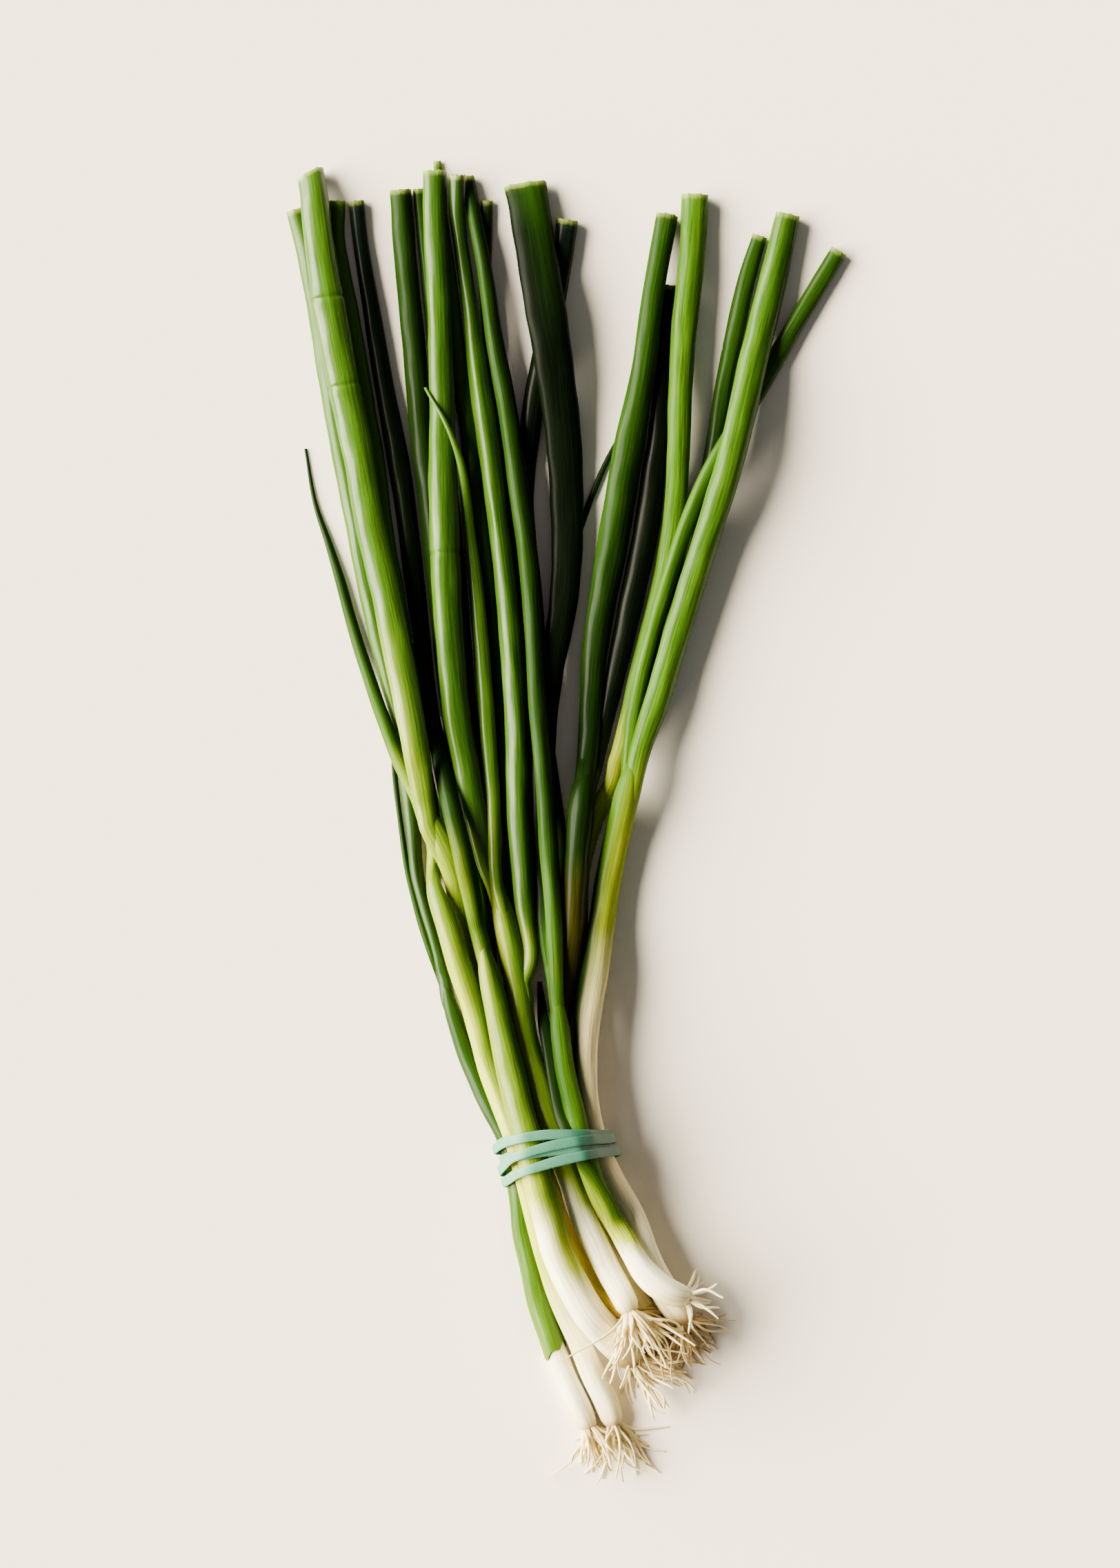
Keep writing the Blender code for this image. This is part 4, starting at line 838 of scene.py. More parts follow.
def skin_material():
    """Scallion skin: its colour by place, with pale and dark ribs along it that break off where it is
    blotched, broad bands, small specks, and a thin coat of wax that follows the ribs."""
    material, shader, wire = new_material("scallion_skin")
    tint = wire.attribute("tint", "Color")
    grain = wire.attribute("grain", "Vector")
    stripe = wire.attribute("stripe", "Fac")
    gloss = wire.attribute("gloss", "Fac")
    ribs = grain.noise((1.7, 1.7, 0.07), 2.0)
    bands = grain.noise((0.55, 0.55, 0.02), 2.0)
    blotch = grain.noise((0.3, 0.3, 0.12), 4.0, 0.65)
    specks = grain.noise((1.6, 1.6, 0.5), 3.0, 0.6)
    broken = stripe * (0.35 + blotch)
    pale = ribs.step(0.5, 0.68) * broken
    dark = (1.0 - ribs.step(0.34, 0.5)) * broken
    deeper = tint.mix((0.45, 0.52, 0.4, 1.0), dark * 0.75, "MULTIPLY")
    lighter = deeper.mix((1.9, 1.55, 1.7, 1.0), pale * 0.7, "MULTIPLY")
    banded = lighter.mix((0.66, 0.74, 0.6, 1.0), bands.step(0.42, 0.66) * 0.55, "MULTIPLY")
    mottled = banded.mix((1.35, 1.2, 1.2, 1.0), blotch.step(0.5, 0.75) * 0.6, "MULTIPLY")
    spotted = mottled.mix((1.7, 1.6, 1.5, 1.0), specks.step(0.66, 0.78) * stripe * 0.5, "MULTIPLY")
    height = ribs * 0.7 + specks * 0.35 + bands
    finish_with(shader, wire, spotted, 0.5 + 0.2 * blotch, height, SKIN_RELIEF, 0.5)
    wax = gloss * (0.25 + blotch) * (0.5 + ribs)
    wire.tree.links.new(wax.socket, shader.inputs["Coat Weight"])
    shader.inputs["Coat Roughness"].default_value = WAX_ROUGHNESS
    shader.inputs["Specular IOR Level"].default_value = SKIN_SPECULAR
    return material


SKIN = skin_material()


CREASE = 60.0


def add_piece(name, patches, materials, replaced):
    """One mesh from patches of points, quads and fans, with colour, grain, stripe and gloss at each point,
    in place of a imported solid."""
    points, quads, fans, patch_of = [], [], [], []
    count = 0
    for patch in patches:
        quads.append(patch["quads"] + count)
        fans.append(patch["fans"] + count)
        points.append(patch["points"])
        count += len(patch["points"])
        patch_of.append((len(patch["quads"]), len(patch["fans"]), patch.get("material", 0)))
    points = (np.concatenate(points) - BUNCH_MIDDLE) * MM
    quads = np.concatenate(quads)
    fans = np.concatenate(fans)
    loops = np.concatenate([quads.ravel(), fans.ravel()]).astype(np.int32)
    sizes = np.concatenate([np.full(len(quads), 4), np.full(len(fans), 3)]).astype(np.int32)
    starts = np.concatenate([[0], np.cumsum(sizes)[:-1]]).astype(np.int32)
    slots = np.concatenate([np.full(q, m) for q, f, m in patch_of]
                           + [np.full(f, m) for q, f, m in patch_of])
    mesh = bpy.data.meshes.new(name)
    mesh.vertices.add(len(points))
    mesh.vertices.foreach_set("co", points.astype(np.float32).ravel())
    mesh.loops.add(len(loops))
    mesh.loops.foreach_set("vertex_index", loops)
    mesh.polygons.add(len(sizes))
    mesh.polygons.foreach_set("loop_start", starts)
    mesh.polygons.foreach_set("material_index", slots.astype(np.int32))
    mesh.update(calc_edges=True)
    mesh.validate()
    tint = np.concatenate([patch["tint"] for patch in patches])
    tint = np.column_stack([tint, np.ones(len(tint))])
    mesh.attributes.new("tint", "FLOAT_COLOR", "POINT").data.foreach_set("color", tint.ravel())
    grain = np.concatenate([patch["grain"] for patch in patches])
    mesh.attributes.new("grain", "FLOAT_VECTOR", "POINT").data.foreach_set("vector", grain.ravel())
    for detail in ("stripe", "gloss"):
        amount = np.concatenate([patch[detail] for patch in patches])
        mesh.attributes.new(detail, "FLOAT", "POINT").data.foreach_set("value", amount)
    mesh.shade_smooth()
    mesh.set_sharp_from_angle(angle=math.radians(CREASE))
    for material in materials:
        mesh.materials.append(material)
    piece = bpy.data.objects.new(name, mesh)
    bpy.context.scene.collection.objects.link(piece)
    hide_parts(replaced)
    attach(piece, "root")
    return piece


# Roots. Each plant keeps a tuft of fibrous roots, washed and partly dried: fine wiry threads that spring
# from the brown root plate under the bulb, spread, curl and lie down on the surface.
ROOT_SIDES = 6
ROOT_STATIONS = 15
ROOT_TOP = 24.5
ROOT_JITTER = 0.12
ROOT_INSIDE = 0.9
ROOT_PLATE = 0.78
ROOT_WAVES = (1.5, 5.0)
ROOT_SWING = (0.06, 0.24)
ROOT_DROOP = 0.25
ROOT_TAPER = 0.6
TAPER_POWER = 1.5
ROOT_SHADE = 0.25
ROOT_SHIFT = 6.3
ROOT_GRAIN_APART = 90.0
OFF_LINE = 0.01
FIBRE_RELIEF = 0.0002


def root_material():
    """Dry root fibre: its own colour with brown flecks, matt."""
    material, shader, wire = new_material("root_fibre")
    tint = wire.attribute("tint", "Color")
    grain = wire.attribute("grain", "Vector")
    flecks = grain.noise((1.2, 1.2, 0.5), 3.0)
    colour = tint.mix((0.75, 0.62, 0.40, 1.0), flecks.step(0.5, 0.75) * 0.7, "MULTIPLY")
    finish_with(shader, wire, colour, 0.55 + 0.2 * flecks, flecks, FIBRE_RELIEF, 0.4)
    return material


ROOT_FIBRE = root_material()


def root_tuft(shank, count, length, thick, spread, colours, seed):
    """Roots as one grid of roots, stations and turns. Each sets out from the root plate at a lean, and
    two slow sine waves across it bend it more the further it goes, while it droops by the square."""
    draw = np.random.default_rng(SEED * 3 + seed)
    way, level, upright = frames(shank["points"])
    base, out = shank["points"][0], -way[0]
    around = draw.uniform(0.0, 2.0 * math.pi, count)
    lean = np.sqrt(draw.uniform(0.0, 1.0, count))
    side = np.cos(around)[:, None] * level[0] + np.sin(around)[:, None] * upright[0]
    reach = draw.uniform(length[0], length[1], count)
    width = draw.uniform(thick[0], thick[1], count)
    heading = out + (spread * lean)[:, None] * side + draw.normal(0.0, ROOT_JITTER, (count, 3))
    heading = unit(heading)
    start = base - ROOT_INSIDE * out + side * (shank["half"][0] * ROOT_PLATE * lean)[:, None]
    cross = unit(np.cross(heading, draw.normal(0.0, 1.0, (count, 3))))
    other = np.cross(heading, cross)
    t = np.linspace(0.0, 1.0, ROOT_STATIONS)[None, :, None]
    wave = draw.uniform(*ROOT_WAVES, (count, 1, 2))
    phase = draw.uniform(0.0, ROOT_SHIFT, (count, 1, 2))
    swing = draw.uniform(*ROOT_SWING, (count, 1, 2)) * reach[:, None, None]
    bend = (np.sin(wave * t + phase) - np.sin(phase)) * swing * t
    line = (start[:, None] + heading[:, None] * (reach[:, None, None] * t)
            + cross[:, None] * bend[..., :1] + other[:, None] * bend[..., 1:])
    line[..., 2] -= (ROOT_DROOP * reach)[:, None] * t[..., 0] ** 2
    taper = (width[:, None] / 2.0) * (1.0 - ROOT_TAPER * t[..., 0] ** TAPER_POWER)
    line[..., 2] = np.clip(line[..., 2], SURFACE + taper, ROOT_TOP)
    along = unit(np.gradient(line, axis=1))
    first = unit(np.cross(along, cross[:, None] + OFF_LINE))
    second = np.cross(first, along)
    turn = np.arange(ROOT_SIDES) * 2.0 * math.pi / ROOT_SIDES
    ring = np.cos(turn)[:, None] * first[:, :, None] + np.sin(turn)[:, None] * second[:, :, None]
    points = line[:, :, None] + taper[..., None, None] * ring
    points[..., 2] = np.maximum(points[..., 2], SURFACE)
    shade = draw.uniform(0.0, 1.0, (count, 1, 1, 1))
    tint = np.array(colours[0]) + (np.array(colours[1]) - np.array(colours[0])) * shade
    tint = tint * (1.0 - ROOT_SHADE * (1.0 - t[..., None]) ** 3) + np.zeros(points.shape)
    runs = (reach[:, None] * t[..., 0])[..., None] + np.zeros(turn.shape)
    grain = np.stack([np.cos(turn) + 0.0 * runs, np.sin(turn) + 0.0 * runs, runs], axis=-1)
    grain = grain + draw.uniform(0.0, ROOT_GRAIN_APART, (count, 1, 1, 1))
    return [root_patch(points[k], tint[k], grain[k]) for k in range(count)]


def root_patch(points, tint, grain):
    """One root's grid closed at both ends."""
    quads, fans = tube_faces(ROOT_STATIONS, ROOT_SIDES)
    ends = np.stack([points[0].mean(axis=0), points[-1].mean(axis=0)])
    flat = [grid.reshape(-1, 3) for grid in (points, tint, grain)]
    return {"points": np.concatenate([flat[0], ends]), "quads": quads, "fans": fans, "material": 1,
            "tint": np.concatenate([flat[1], tint[0, :1], tint[-1, :1]]),
            "grain": np.concatenate([flat[2], grain[0, :1], grain[-1, :1]]),
            "stripe": np.zeros(len(flat[0]) + 2), "gloss": np.zeros(len(flat[0]) + 2)}


def grow(plant, finishes, roots, sheets=()):
    """A scallion: its shank, leaves and wraps in the order of its routes, then its sheets and roots. A row
    of roots is how many, their lengths, their widths, how far they spread and their two colours."""
    own = [s for s in strands if s["plant"] == plant]
    number = list(SCALLIONS).index(plant)
    shank = own[0]
    whole = [shank] + [rooted(s, shank, finishes[0]["keys"], finish["aside"])
                       for s, finish in zip(own[1:], finishes[1:])]
    patches = [tube(s, finish, 10 * number + k) for k, (s, finish) in enumerate(zip(whole, finishes))]
    patches += [sheet(shank, 10 * number + k, **settings) for k, settings in enumerate(sheets)]
    for count, length, thick, spread, colours in roots:
        patches += root_tuft(own[0], count, length, thick, spread, colours, 10 * number + len(patches))
    return add_piece(plant + "_skin", patches, [SKIN, ROOT_FIBRE], plant)


# Scallion 1, the lowest at the far left: a small white bulb, a green outer sheath over the white shank,
# one cut leaf along the left edge and one thin whole leaf that ends in a point.
grow("scallion_1", [
    look([(-170, TAN), (-167.5, CREAM), (-160, WHITE), (-148, WHITE), (-143, LIME),
          (-125, LIME, GRASS), (-105, GRASS), (-85, LEAF), (-50, LEAF)], stripe=0.3, gloss=0.3),
    look([(-48, LEAF), (-10, LEAF, DARK_GREEN_AND_SHADE), (20, DARK_GREEN_AND_SHADE)], facet=1.8),
    look([(-50, LEAF), (-10, LEAF, DARK_GREEN_AND_SHADE), (40, GRASS, LEAF), (167, GRASS, LEAF)], facet=1.8, gloss=0.5),
], [(30, (7, 15), (0.8, 1.3), 0.9, (STRAW, IVORY))],
    # The sheath's left colours are paler, a painted highlight on its lit side.
    [{"low": -147, "high": -101, "arc": (-0.6, 3.9), "lift": 0.3, "colours": (GRASS, MEADOW, LEAF, GRASS),
      "ragged": (1.4, 0.4), "gloss": 0.3, "stripe": 0.7}])


# Scallion 2, beside it: a white bulb, a pale shank and one cut leaf.
grow("scallion_2", [
    look([(-168.5, TAN), (-166, CREAM), (-158, WHITE), (-146, CREAM, WHITE), (-125, PALE),
          (-100, PALE, LIME), (-60, PALE, MEADOW), (-20, SPRING, MEADOW), (-10, LIME, GRASS)],
         stripe=0.3, gloss=0.5),
    look([(-16, LIME, GRASS), (8, GRASS, LEAF), (30, LEAF), (169, LEAF, GRASS)], facet=1.7, roll=0.3,
         gloss=0.3),
], [(34, (8, 17), (0.8, 1.3), 0.9, (STRAW, IVORY))])


# Scallion 3, the thickest bulb, in front in the middle, with three cut leaves.
grow("scallion_3", [
    look([(-150.6, TAN), (-148, CREAM), (-144, WHITE), (-133, WHITE), (-124, WHITE, PALE),
          (-115, WHITE, LIME), (-104, PALE, MEADOW), (-86, SPRING, MEADOW), (-55, SPRING, GRASS),
          (-40, LIME, LEAF), (-30, GRASS, LEAF)], stripe=0.4, gloss=0.5),
    # Its first leaf is painted near black from the middle up, painted shade where it lies low in shadow.
    look([(-37, LIME, LEAF), (0, LEAF, DARK_GREEN_AND_SHADE), (60, DARK_GREEN_AND_SHADE, DEEP_SHADE_GREEN), (150, DEEP_SHADE_GREEN), (160, BLUISH),
          (169, BLUISH)], facet=1.8),
    look([(-41, LIME, LEAF), (0, LEAF, DARK_GREEN_AND_SHADE), (90, DARK_GREEN_AND_SHADE), (172, LEAF, DARK_GREEN_AND_SHADE)], facet=1.7, roll=-0.2),
    look([(-44, LEAF), (60, DARK_GREEN_AND_SHADE), (172, LEAF)], facet=1.9),
], [(40, (8, 17), (0.8, 1.4), 0.9, (STRAW, IVORY))])


# Scallion 4, its bulb beside the third: three cut leaves and a thin whole one, wrinkled below its point,
# laid over them.
grow("scallion_4", [
    look([(-136.8, TAN), (-134.5, CREAM), (-128, WHITE), (-113, WHITE), (-106, WHITE, LIME),
          (-98, PALE, MEADOW), (-80, SPRING, MEADOW), (-45, SPRING, GRASS), (-30, LIME, GRASS),
          (-14, GRASS, LEAF)], stripe=0.4, gloss=0.5),
    look([(-20, LIME, LEAF), (0, GRASS, LEAF), (60, GRASS, LEAF), (177, GRASS, LEAF)],
         facet=2.4, stripe=0.8, folds=[(72, 0.05)], gloss=0.6),
    look([(-20, PALE, LIME), (-8, LIME, GRASS), (10, GRASS), (60, GRASS), (117, GRASS)],
         facet=1.9, gloss=0.6),
    look([(-46, LIME), (-30, GRASS, LEAF), (100, GRASS, LEAF), (176, LEAF)],
         facet=1.6, stripe=1.0, gloss=0.6, aside=2.2),
    look([(-37, DARK_GREEN_AND_SHADE), (60, DARK_GREEN_AND_SHADE), (85, LEAF), (180, GRASS)], facet=1.9, wrinkle=(86, 130, 0.05)),
], [(52, (9, 21), (0.7, 1.3), 0.95, (STRAW, IVORY))])


# Scallion 5, the curved bulb whose roots stand out like a star: three cut leaves, one of them wide and
# painted near black as painted shade for the deep shadow it lies in, a thin whole one that curls away, and
# an outer leaf laid round the shank. Its shank is painted dark green above the band and darker down its
# left side, painted shade where scallion 4 shades it.
grow("scallion_5", [
    look([(-132, CREAM), (-130, WHITE), (-121, WHITE), (-116, PALE), (-110, LIME, GRASS), (-90, GRASS),
          (-78, LEAF, GRASS), (-45, LEAF, GRASS)], stripe=0.3, gloss=0.1),
    look([(-49, LIME), (-38, GRASS, LEAF), (0, LEAF, DARK_GREEN_AND_SHADE), (175, LEAF, DARK_GREEN_AND_SHADE)], facet=1.8, stripe=0.7),
    look([(-46, DARK_GREEN_AND_SHADE), (0, DEEP_SHADE_GREEN), (130, DEEP_SHADE_GREEN), (160, DEEP_SHADE_GREEN, DARK_GREEN_AND_SHADE), (174, DARK_GREEN_AND_SHADE, LEAF)],
         facet=2.6, roll=0.2, gloss=0.05),
    look([(-44, DARK_GREEN_AND_SHADE), (112, DARK_GREEN_AND_SHADE)]),
    look([(-46, DARK_GREEN_AND_SHADE), (169, DARK_GREEN_AND_SHADE)]),
    look([(-112, GRASS, LEAF), (-100, LEAF), (-80, DARK_GREEN_AND_SHADE), (-46, DARK_GREEN_AND_SHADE)], facet=1.8),
], [(13, (7, 10.5), (1.0, 1.4), 1.5, (CREAM, WHITE))])


# Scallion 6, the yellowish shank at the left: the big fresh leaf and a long whole leaf beside it.
grow("scallion_6", [
    look([(-140.5, TAN), (-135, YELLOW), (-110, YELLOW), (-95, LIME), (-60, LIME, GRASS),
          (-30, LIME, MEADOW), (6, SPRING, MEADOW)], stripe=0.3, gloss=0.5),
    look([(-3, LIME, MEADOW), (20, LIME, GRASS), (60, GRASS), (176, GRASS)],
         facet=2.2, stripe=0.6, folds=[(118, 0.05), (142, 0.06)], slant=1.5, gloss=0.8),
    look([(-2, LIME), (20, GRASS, LEAF), (60, LEAF, DARK_GREEN_AND_SHADE), (101, DARK_GREEN_AND_SHADE)], facet=1.8),
], [(26, (8, 16), (0.6, 1.1), 0.9, (TAN, STRAW))])


# Scallion 7, the pale shank at the right, with two cut leaves that lean out. Its shank is dark green down
# its left side, partly its outer sheath's own colour and partly a painted shadow of scallion 5.
grow("scallion_7", [
    look([(-139, TAN), (-136.5, CREAM), (-128, WHITE), (-95, CREAM), (-85, LEAF, CREAM),
          (-60, DARK_GREEN_AND_SHADE, CREAM), (-30, DARK_GREEN_AND_SHADE, LIME), (-8, GRASS, LIME), (19, GRASS)], stripe=0.3),
    look([(9, GRASS), (35, GRASS), (165, GRASS, LEAF)], facet=2.2, stripe=0.9, gloss=0.3),
    look([(10, GRASS), (60, GRASS, LEAF), (155, LEAF)], facet=2.2, stripe=0.6, folds=[(126, 0.05)],
         gloss=0.2),
], [(40, (7, 15), (0.5, 0.9), 0.9, (TAN, STRAW))])


# Scallion 8, half hidden in the middle, with three cut leaves. Its dark shank and leaves are partly its own
# dark green and partly painted shade for the shadow it lies in, two leaves painted near black.
grow("scallion_8", [
    look([(-146, TAN), (-140, CREAM), (-100, CREAM), (-80, OLIVE), (-30, OLIVE), (-10, DARK_GREEN_AND_SHADE), (18, DARK_GREEN_AND_SHADE)]),
    look([(9, DARK_GREEN_AND_SHADE), (30, DARK_GREEN_AND_SHADE), (80, LEAF, DARK_GREEN_AND_SHADE), (165, LEAF)], facet=2.0, stripe=0.8),
    look([(8, DEEP_SHADE_GREEN), (146, DEEP_SHADE_GREEN)]),
    look([(-26, DARK_GREEN_AND_SHADE), (20, DEEP_SHADE_GREEN), (145, DEEP_SHADE_GREEN), (155, BLUISH), (164, BLUISH)], facet=2.2),
], [(32, (7, 15), (0.5, 0.9), 0.9, (TAN, STRAW))])


# Scallion 9, lowest at the right, with two cut leaves.
grow("scallion_9", [
    look([(-143, TAN), (-138, CREAM), (-80, CREAM), (-40, OLIVE), (-10, LIME), (15, LIME)]),
    look([(9, LIME), (30, GRASS), (170, GRASS, GRASS)], facet=2.0, stripe=1.0),
    look([(8, DARK_GREEN_AND_SHADE), (100, DARK_GREEN_AND_SHADE), (122, LEAF), (160, LEAF)], facet=2.0, folds=[(128, 0.05)]),
], [(28, (7, 15), (0.5, 0.9), 0.9, (TAN, STRAW))])


# The rubber band, one soft flat strip of teal rubber wound four times round the shanks by hand, so its
# turns cross and lie on each other.
BAND_TURNS = 4
BAND_STATIONS = 576
BAND_WIDTH = 2.7
BAND_THICK = 0.6
BAND_SPREAD = 3.8
BAND_LAYER = 0.62
BAND_ROOM = 0.42
BAND_MIDDLE = 11.0
BAND_ARCH = 2.4
BAND_SLANT = 1.6
BAND_BACK = 0.8
BAND_UNEVEN = 0.3
BAND_PHASE = -0.58
BAND_SLICES = 11
BAND_ANGLES = 181
LOOP_STEPS = 1441
BAND_SIDES = 16
EDGE_POWER = 0.5
FACE_POWER = 0.6
BAND_SWELL = 0.05
BAND_SWELL_SLOW = 0.04
LIT_REACH = 26.0
LIT_SHIFT = 0.15
RUBBER_RELIEF = 0.0002
TEAL = (0.010, 0.085, 0.050)
# The mint is a painted highlight for the side of the strip that faces the light.
LIT_SIDE_MINT = (0.055, 0.23, 0.14)


def bunch_outline(strands, slices, angles):
    """How far the bunch reaches from its middle at each slice along it and each angle round it."""
    found = []
    for along in slices:
        discs = []
        for s in strands:
            place = (s["points"][:, :2] - BAND_CENTRE) @ BUNCH_WAY
            if place.min() < along < place.max():
                k = int(np.argmin(np.abs(place - along)))
                side = (s["points"][k, :2] - BAND_CENTRE) @ BUNCH_ACROSS
                discs.append((side, s["points"][k, 2] - BAND_MIDDLE, s["half"][k]))
        found.append(reach_round(np.array(discs), angles))
    return np.array(found)


def reach_round(discs, angles):
    """The distance from the middle to the tight loop round some discs, with the band's clearance added."""
    normal = np.linspace(0.0, 2.0 * math.pi, LOOP_STEPS)
    u = np.stack([np.cos(normal), np.sin(normal)], axis=1)
    outward = discs[:, :2] @ u.T + discs[:, 2:3]
    support = np.max(outward, axis=0) + BAND_ROOM + BAND_THICK / 2.0 + BAND_LAYER
    owner = np.argmax(outward, axis=0)
    loop = discs[owner, :2] + u * (support - np.sum(discs[owner, :2] * u, axis=1))[:, None]
    run = np.concatenate([[0.0], np.cumsum(np.linalg.norm(np.diff(loop, axis=0), axis=1))])
    even = np.linspace(0.0, run[-1], LOOP_STEPS)
    loop = np.stack([np.interp(even, run, loop[:, 0]), np.interp(even, run, loop[:, 1])], axis=1)
    around = np.unwrap(np.arctan2(loop[:, 1], loop[:, 0]))
    far = np.linalg.norm(loop, axis=1)
    order = np.argsort(around)
    return np.interp(angles, around[order], far[order], period=2.0 * math.pi)


def band_line():
    """The strip's middle line: round the bunch, at the reach of the shanks, while a slow cosine carries
    its turns along the bunch and a slow sine lifts them over each other."""
    slices = np.linspace(-BAND_REACH, BAND_REACH, BAND_SLICES)
    angles = np.linspace(0.0, 2.0 * math.pi, BAND_ANGLES)
    reach = bunch_outline(strands, slices, angles)
    padded = np.pad(reach, ((1, 1), (0, 0)), mode="edge")
    reach = np.maximum(np.maximum(padded[:-2], padded[2:]), reach)
    turn = np.arange(BAND_STATIONS) / BAND_STATIONS * 2.0 * math.pi * BAND_TURNS
    phase = turn / BAND_TURNS + BAND_PHASE
    wide = BAND_SPREAD * (1.0 - BAND_UNEVEN * np.cos(turn))
    along = wide * np.cos(phase) + BAND_ARCH * np.sin(turn) - BAND_SLANT * np.cos(turn) - BAND_BACK
    slot = (along - slices[0]) / (slices[1] - slices[0])
    low = np.clip(slot.astype(int), 0, len(slices) - 2)
    here = np.array([np.interp(a % (2.0 * math.pi), angles, reach[k]) for a, k in zip(turn, low)])
    there = np.array([np.interp(a % (2.0 * math.pi), angles, reach[k + 1]) for a, k in zip(turn, low)])
    far = here + (there - here) * (slot - low) + BAND_LAYER * np.sin(phase)
    plan = BAND_CENTRE + along[:, None] * BUNCH_WAY + (far * np.cos(turn))[:, None] * BUNCH_ACROSS
    return np.concatenate([plan, (BAND_MIDDLE + far * np.sin(turn))[:, None]], axis=1), turn


def band_material():
    """Thin teal rubber: its tint painted paler on the lit side as a painted highlight, paler still in dusty
    patches, a soft gloss.
    """
    material, shader, wire = new_material("band_rubber")
    tint = wire.attribute("tint", "Color")
    grain = wire.attribute("grain", "Vector")
    dust = grain.noise((0.6, 0.6, 0.25), 4.0, 0.65)
    fine = grain.noise((2.5, 2.5, 1.2), 2.0)
    colour = tint.mix((1.25, 1.12, 1.15, 1.0), dust.step(0.45, 0.75) * 0.8, "MULTIPLY")
    finish_with(shader, wire, colour, 0.42 + 0.2 * dust, fine * 0.4 + dust, RUBBER_RELIEF, 0.4)
    return material


def rubber_band():
    """The strip's section, a flat rounded bar that swells and thins slightly, carried round the closed
    line, and painted paler on the side that the light comes from, a painted highlight."""
    line, turn = band_line()
    way = unit(np.roll(line, -1, axis=0) - np.roll(line, 1, axis=0))
    bunch = np.array([BUNCH_WAY[0], BUNCH_WAY[1], 0.0])
    edge = unit(bunch - np.sum(way * bunch, axis=1)[:, None] * way)
    out = np.cross(edge, way)
    around = np.arange(BAND_SIDES) * 2.0 * math.pi / BAND_SIDES
    flat = np.sign(np.cos(around)) * np.abs(np.cos(around)) ** EDGE_POWER
    thick = np.sign(np.sin(around)) * np.abs(np.sin(around)) ** FACE_POWER
    ripple = (1.0 + BAND_SWELL * np.sin(turn * 5.0)
              + BAND_SWELL_SLOW * np.sin(turn * 11.0 / BAND_TURNS + 1.0))
    points = (line[:, None] + (flat[None] * ripple[:, None])[..., None] * edge[:, None] * BAND_WIDTH / 2.0
              + (thick[None] / ripple[:, None])[..., None] * out[:, None] * BAND_THICK / 2.0)
    points[..., 2] = np.maximum(points[..., 2], SURFACE)
    ring, side = np.meshgrid(np.arange(BAND_STATIONS), np.arange(BAND_SIDES), indexing="ij")
    after = (side + 1) % BAND_SIDES
    then = (ring + 1) % BAND_STATIONS
    quads = np.stack([ring * BAND_SIDES + side, ring * BAND_SIDES + after,
                      then * BAND_SIDES + after, then * BAND_SIDES + side], axis=-1).reshape(-1, 4)
    # Painted highlight: the strip turns from teal to mint towards the lit left.
    lit = smooth_step(0.5 - points[..., 0] / LIT_REACH - LIT_SHIFT)[..., None]
    tint = np.array(TEAL) + (np.array(LIT_SIDE_MINT) - np.array(TEAL)) * lit
    runs = np.cumsum(np.full(BAND_STATIONS, np.linalg.norm(line[1] - line[0])))
    grain = np.stack([flat + 0.0 * runs[:, None], thick + 0.0 * runs[:, None],
                      runs[:, None] + 0.0 * flat], axis=-1)
    patch = {"points": points.reshape(-1, 3), "quads": quads, "fans": np.zeros((0, 3), dtype=int),
             "tint": tint.reshape(-1, 3), "grain": grain.reshape(-1, 3),
             "stripe": np.zeros(points[..., 0].size), "gloss": np.zeros(points[..., 0].size)}
    return add_piece("rubber_band_strip", [patch], [band_material()], "rubber_band")


rubber_band()


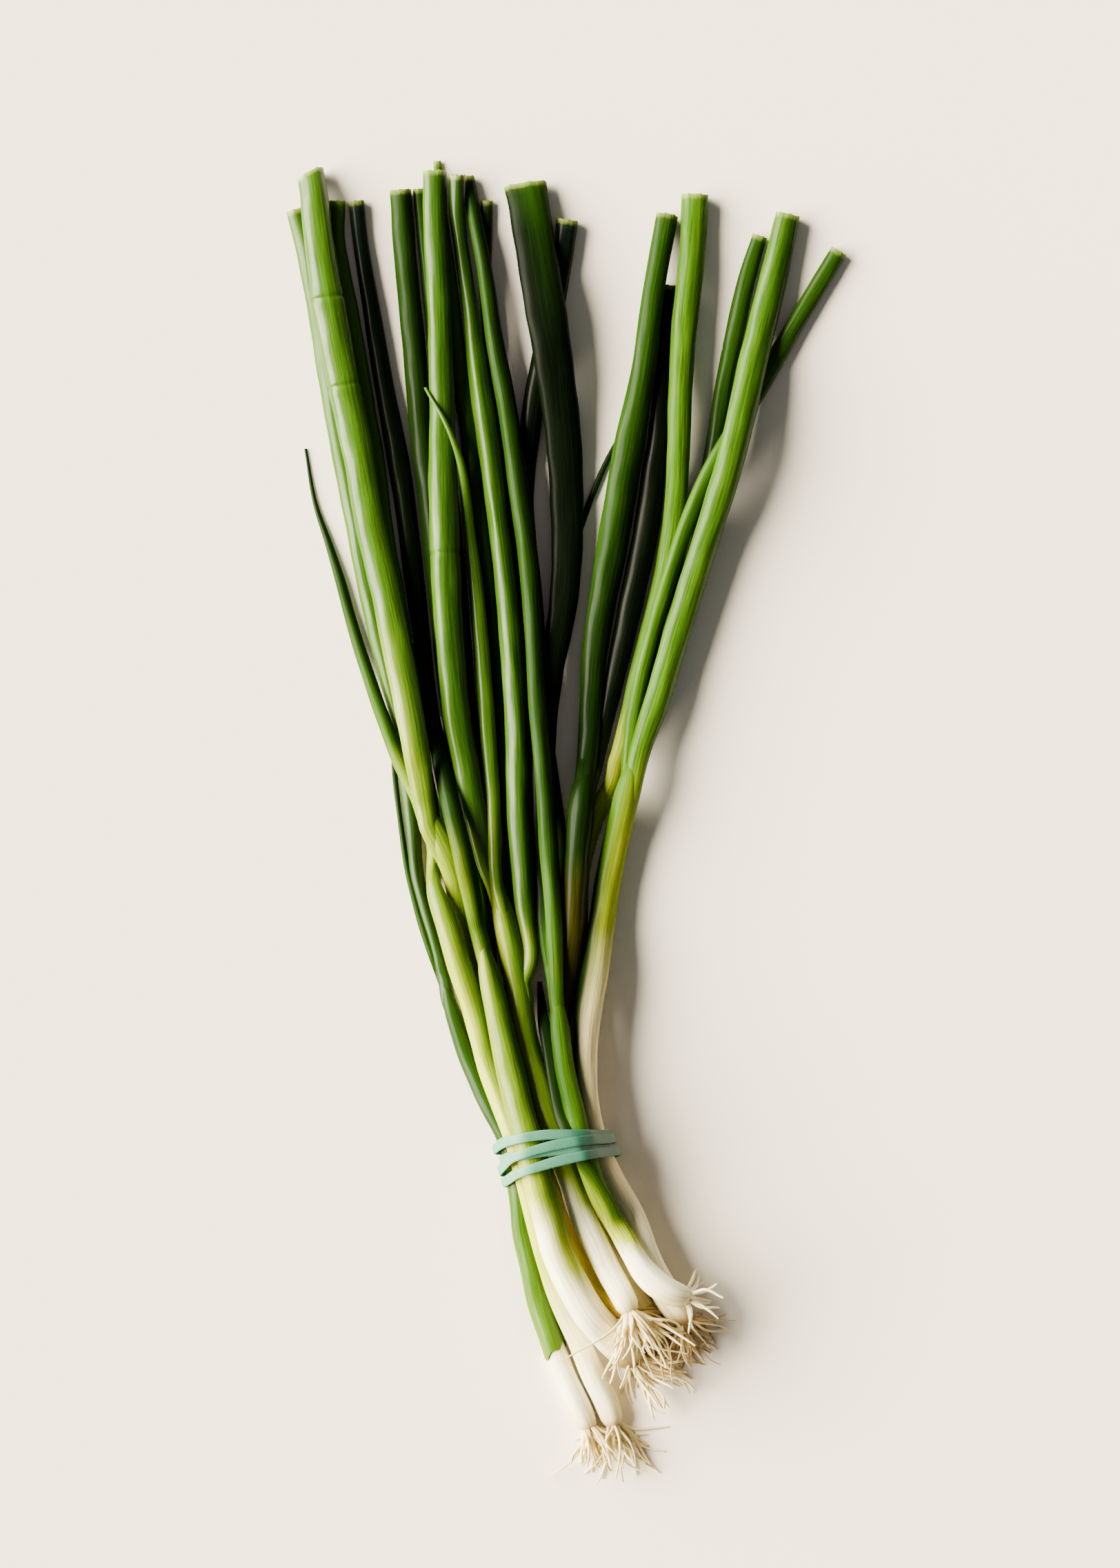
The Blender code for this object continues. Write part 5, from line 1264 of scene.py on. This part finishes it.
# The surface it lies on, plain and pale, with one soft light from the left and a pale sky above.
FLOOR_SIZE = 6.0
FLOOR_LEVEL = -0.0002
FLOOR_COLOUR = (0.93, 0.86, 0.76, 1.0)
FLOOR_ROUGHNESS = 0.85
FLOOR_SPECULAR = 0.2
floor_mesh = bpy.data.meshes.new("floor")
corners = [(x * FLOOR_SIZE / 2.0, y * FLOOR_SIZE / 2.0, FLOOR_LEVEL)
           for x, y in ((-1, -1), (1, -1), (1, 1), (-1, 1))]
floor_mesh.from_pydata(corners, [], [(0, 1, 2, 3)])
floor = bpy.data.objects.new("floor", floor_mesh)
bpy.context.scene.collection.objects.link(floor)
floor_paint, floor_shader, _ = new_material("floor_paint")
floor_shader.inputs["Base Color"].default_value = FLOOR_COLOUR
floor_shader.inputs["Roughness"].default_value = FLOOR_ROUGHNESS
floor_shader.inputs["Specular IOR Level"].default_value = FLOOR_SPECULAR
floor_mesh.materials.append(floor_paint)

SUN_TILT = 71.0
SUN_FROM = 170.0
SUN_STRENGTH = 44.0
SUN_SPREAD = 66.0
SUN_COLOUR = (1.0, 0.90, 0.72)
SKY_STRENGTH = 0.17
SKY_COLOUR = (1.0, 0.98, 0.95, 1.0)
sun = bpy.data.lights.new("window", "SUN")
sun.energy = SUN_STRENGTH
sun.angle = math.radians(SUN_SPREAD)
sun.color = SUN_COLOUR
window = bpy.data.objects.new("window", sun)
window.rotation_euler = (0.0, math.radians(SUN_TILT), math.radians(SUN_FROM))
bpy.context.scene.collection.objects.link(window)
sky = bpy.data.worlds.new("sky")
sky.use_nodes = True
sky.node_tree.nodes["Background"].inputs["Color"].default_value = SKY_COLOUR
sky.node_tree.nodes["Background"].inputs["Strength"].default_value = SKY_STRENGTH
bpy.context.scene.world = sky

# The camera looks straight down from two metres, and its picture's long side covers 432 mm.
CAMERA_HEIGHT = 2.0
CAMERA_AIM = np.array([-3.2, 8.6])
SENSOR = 36.0
VIEW_LONG = 0.432
eye = bpy.data.cameras.new("eye")
eye.sensor_fit = "VERTICAL"
eye.sensor_height = SENSOR
eye.lens = SENSOR * CAMERA_HEIGHT / VIEW_LONG
camera = bpy.data.objects.new("eye", eye)
camera.location = (*((CAMERA_AIM - BUNCH_MIDDLE[:2]) * MM), CAMERA_HEIGHT)
bpy.context.scene.collection.objects.link(camera)
bpy.context.scene.camera = camera
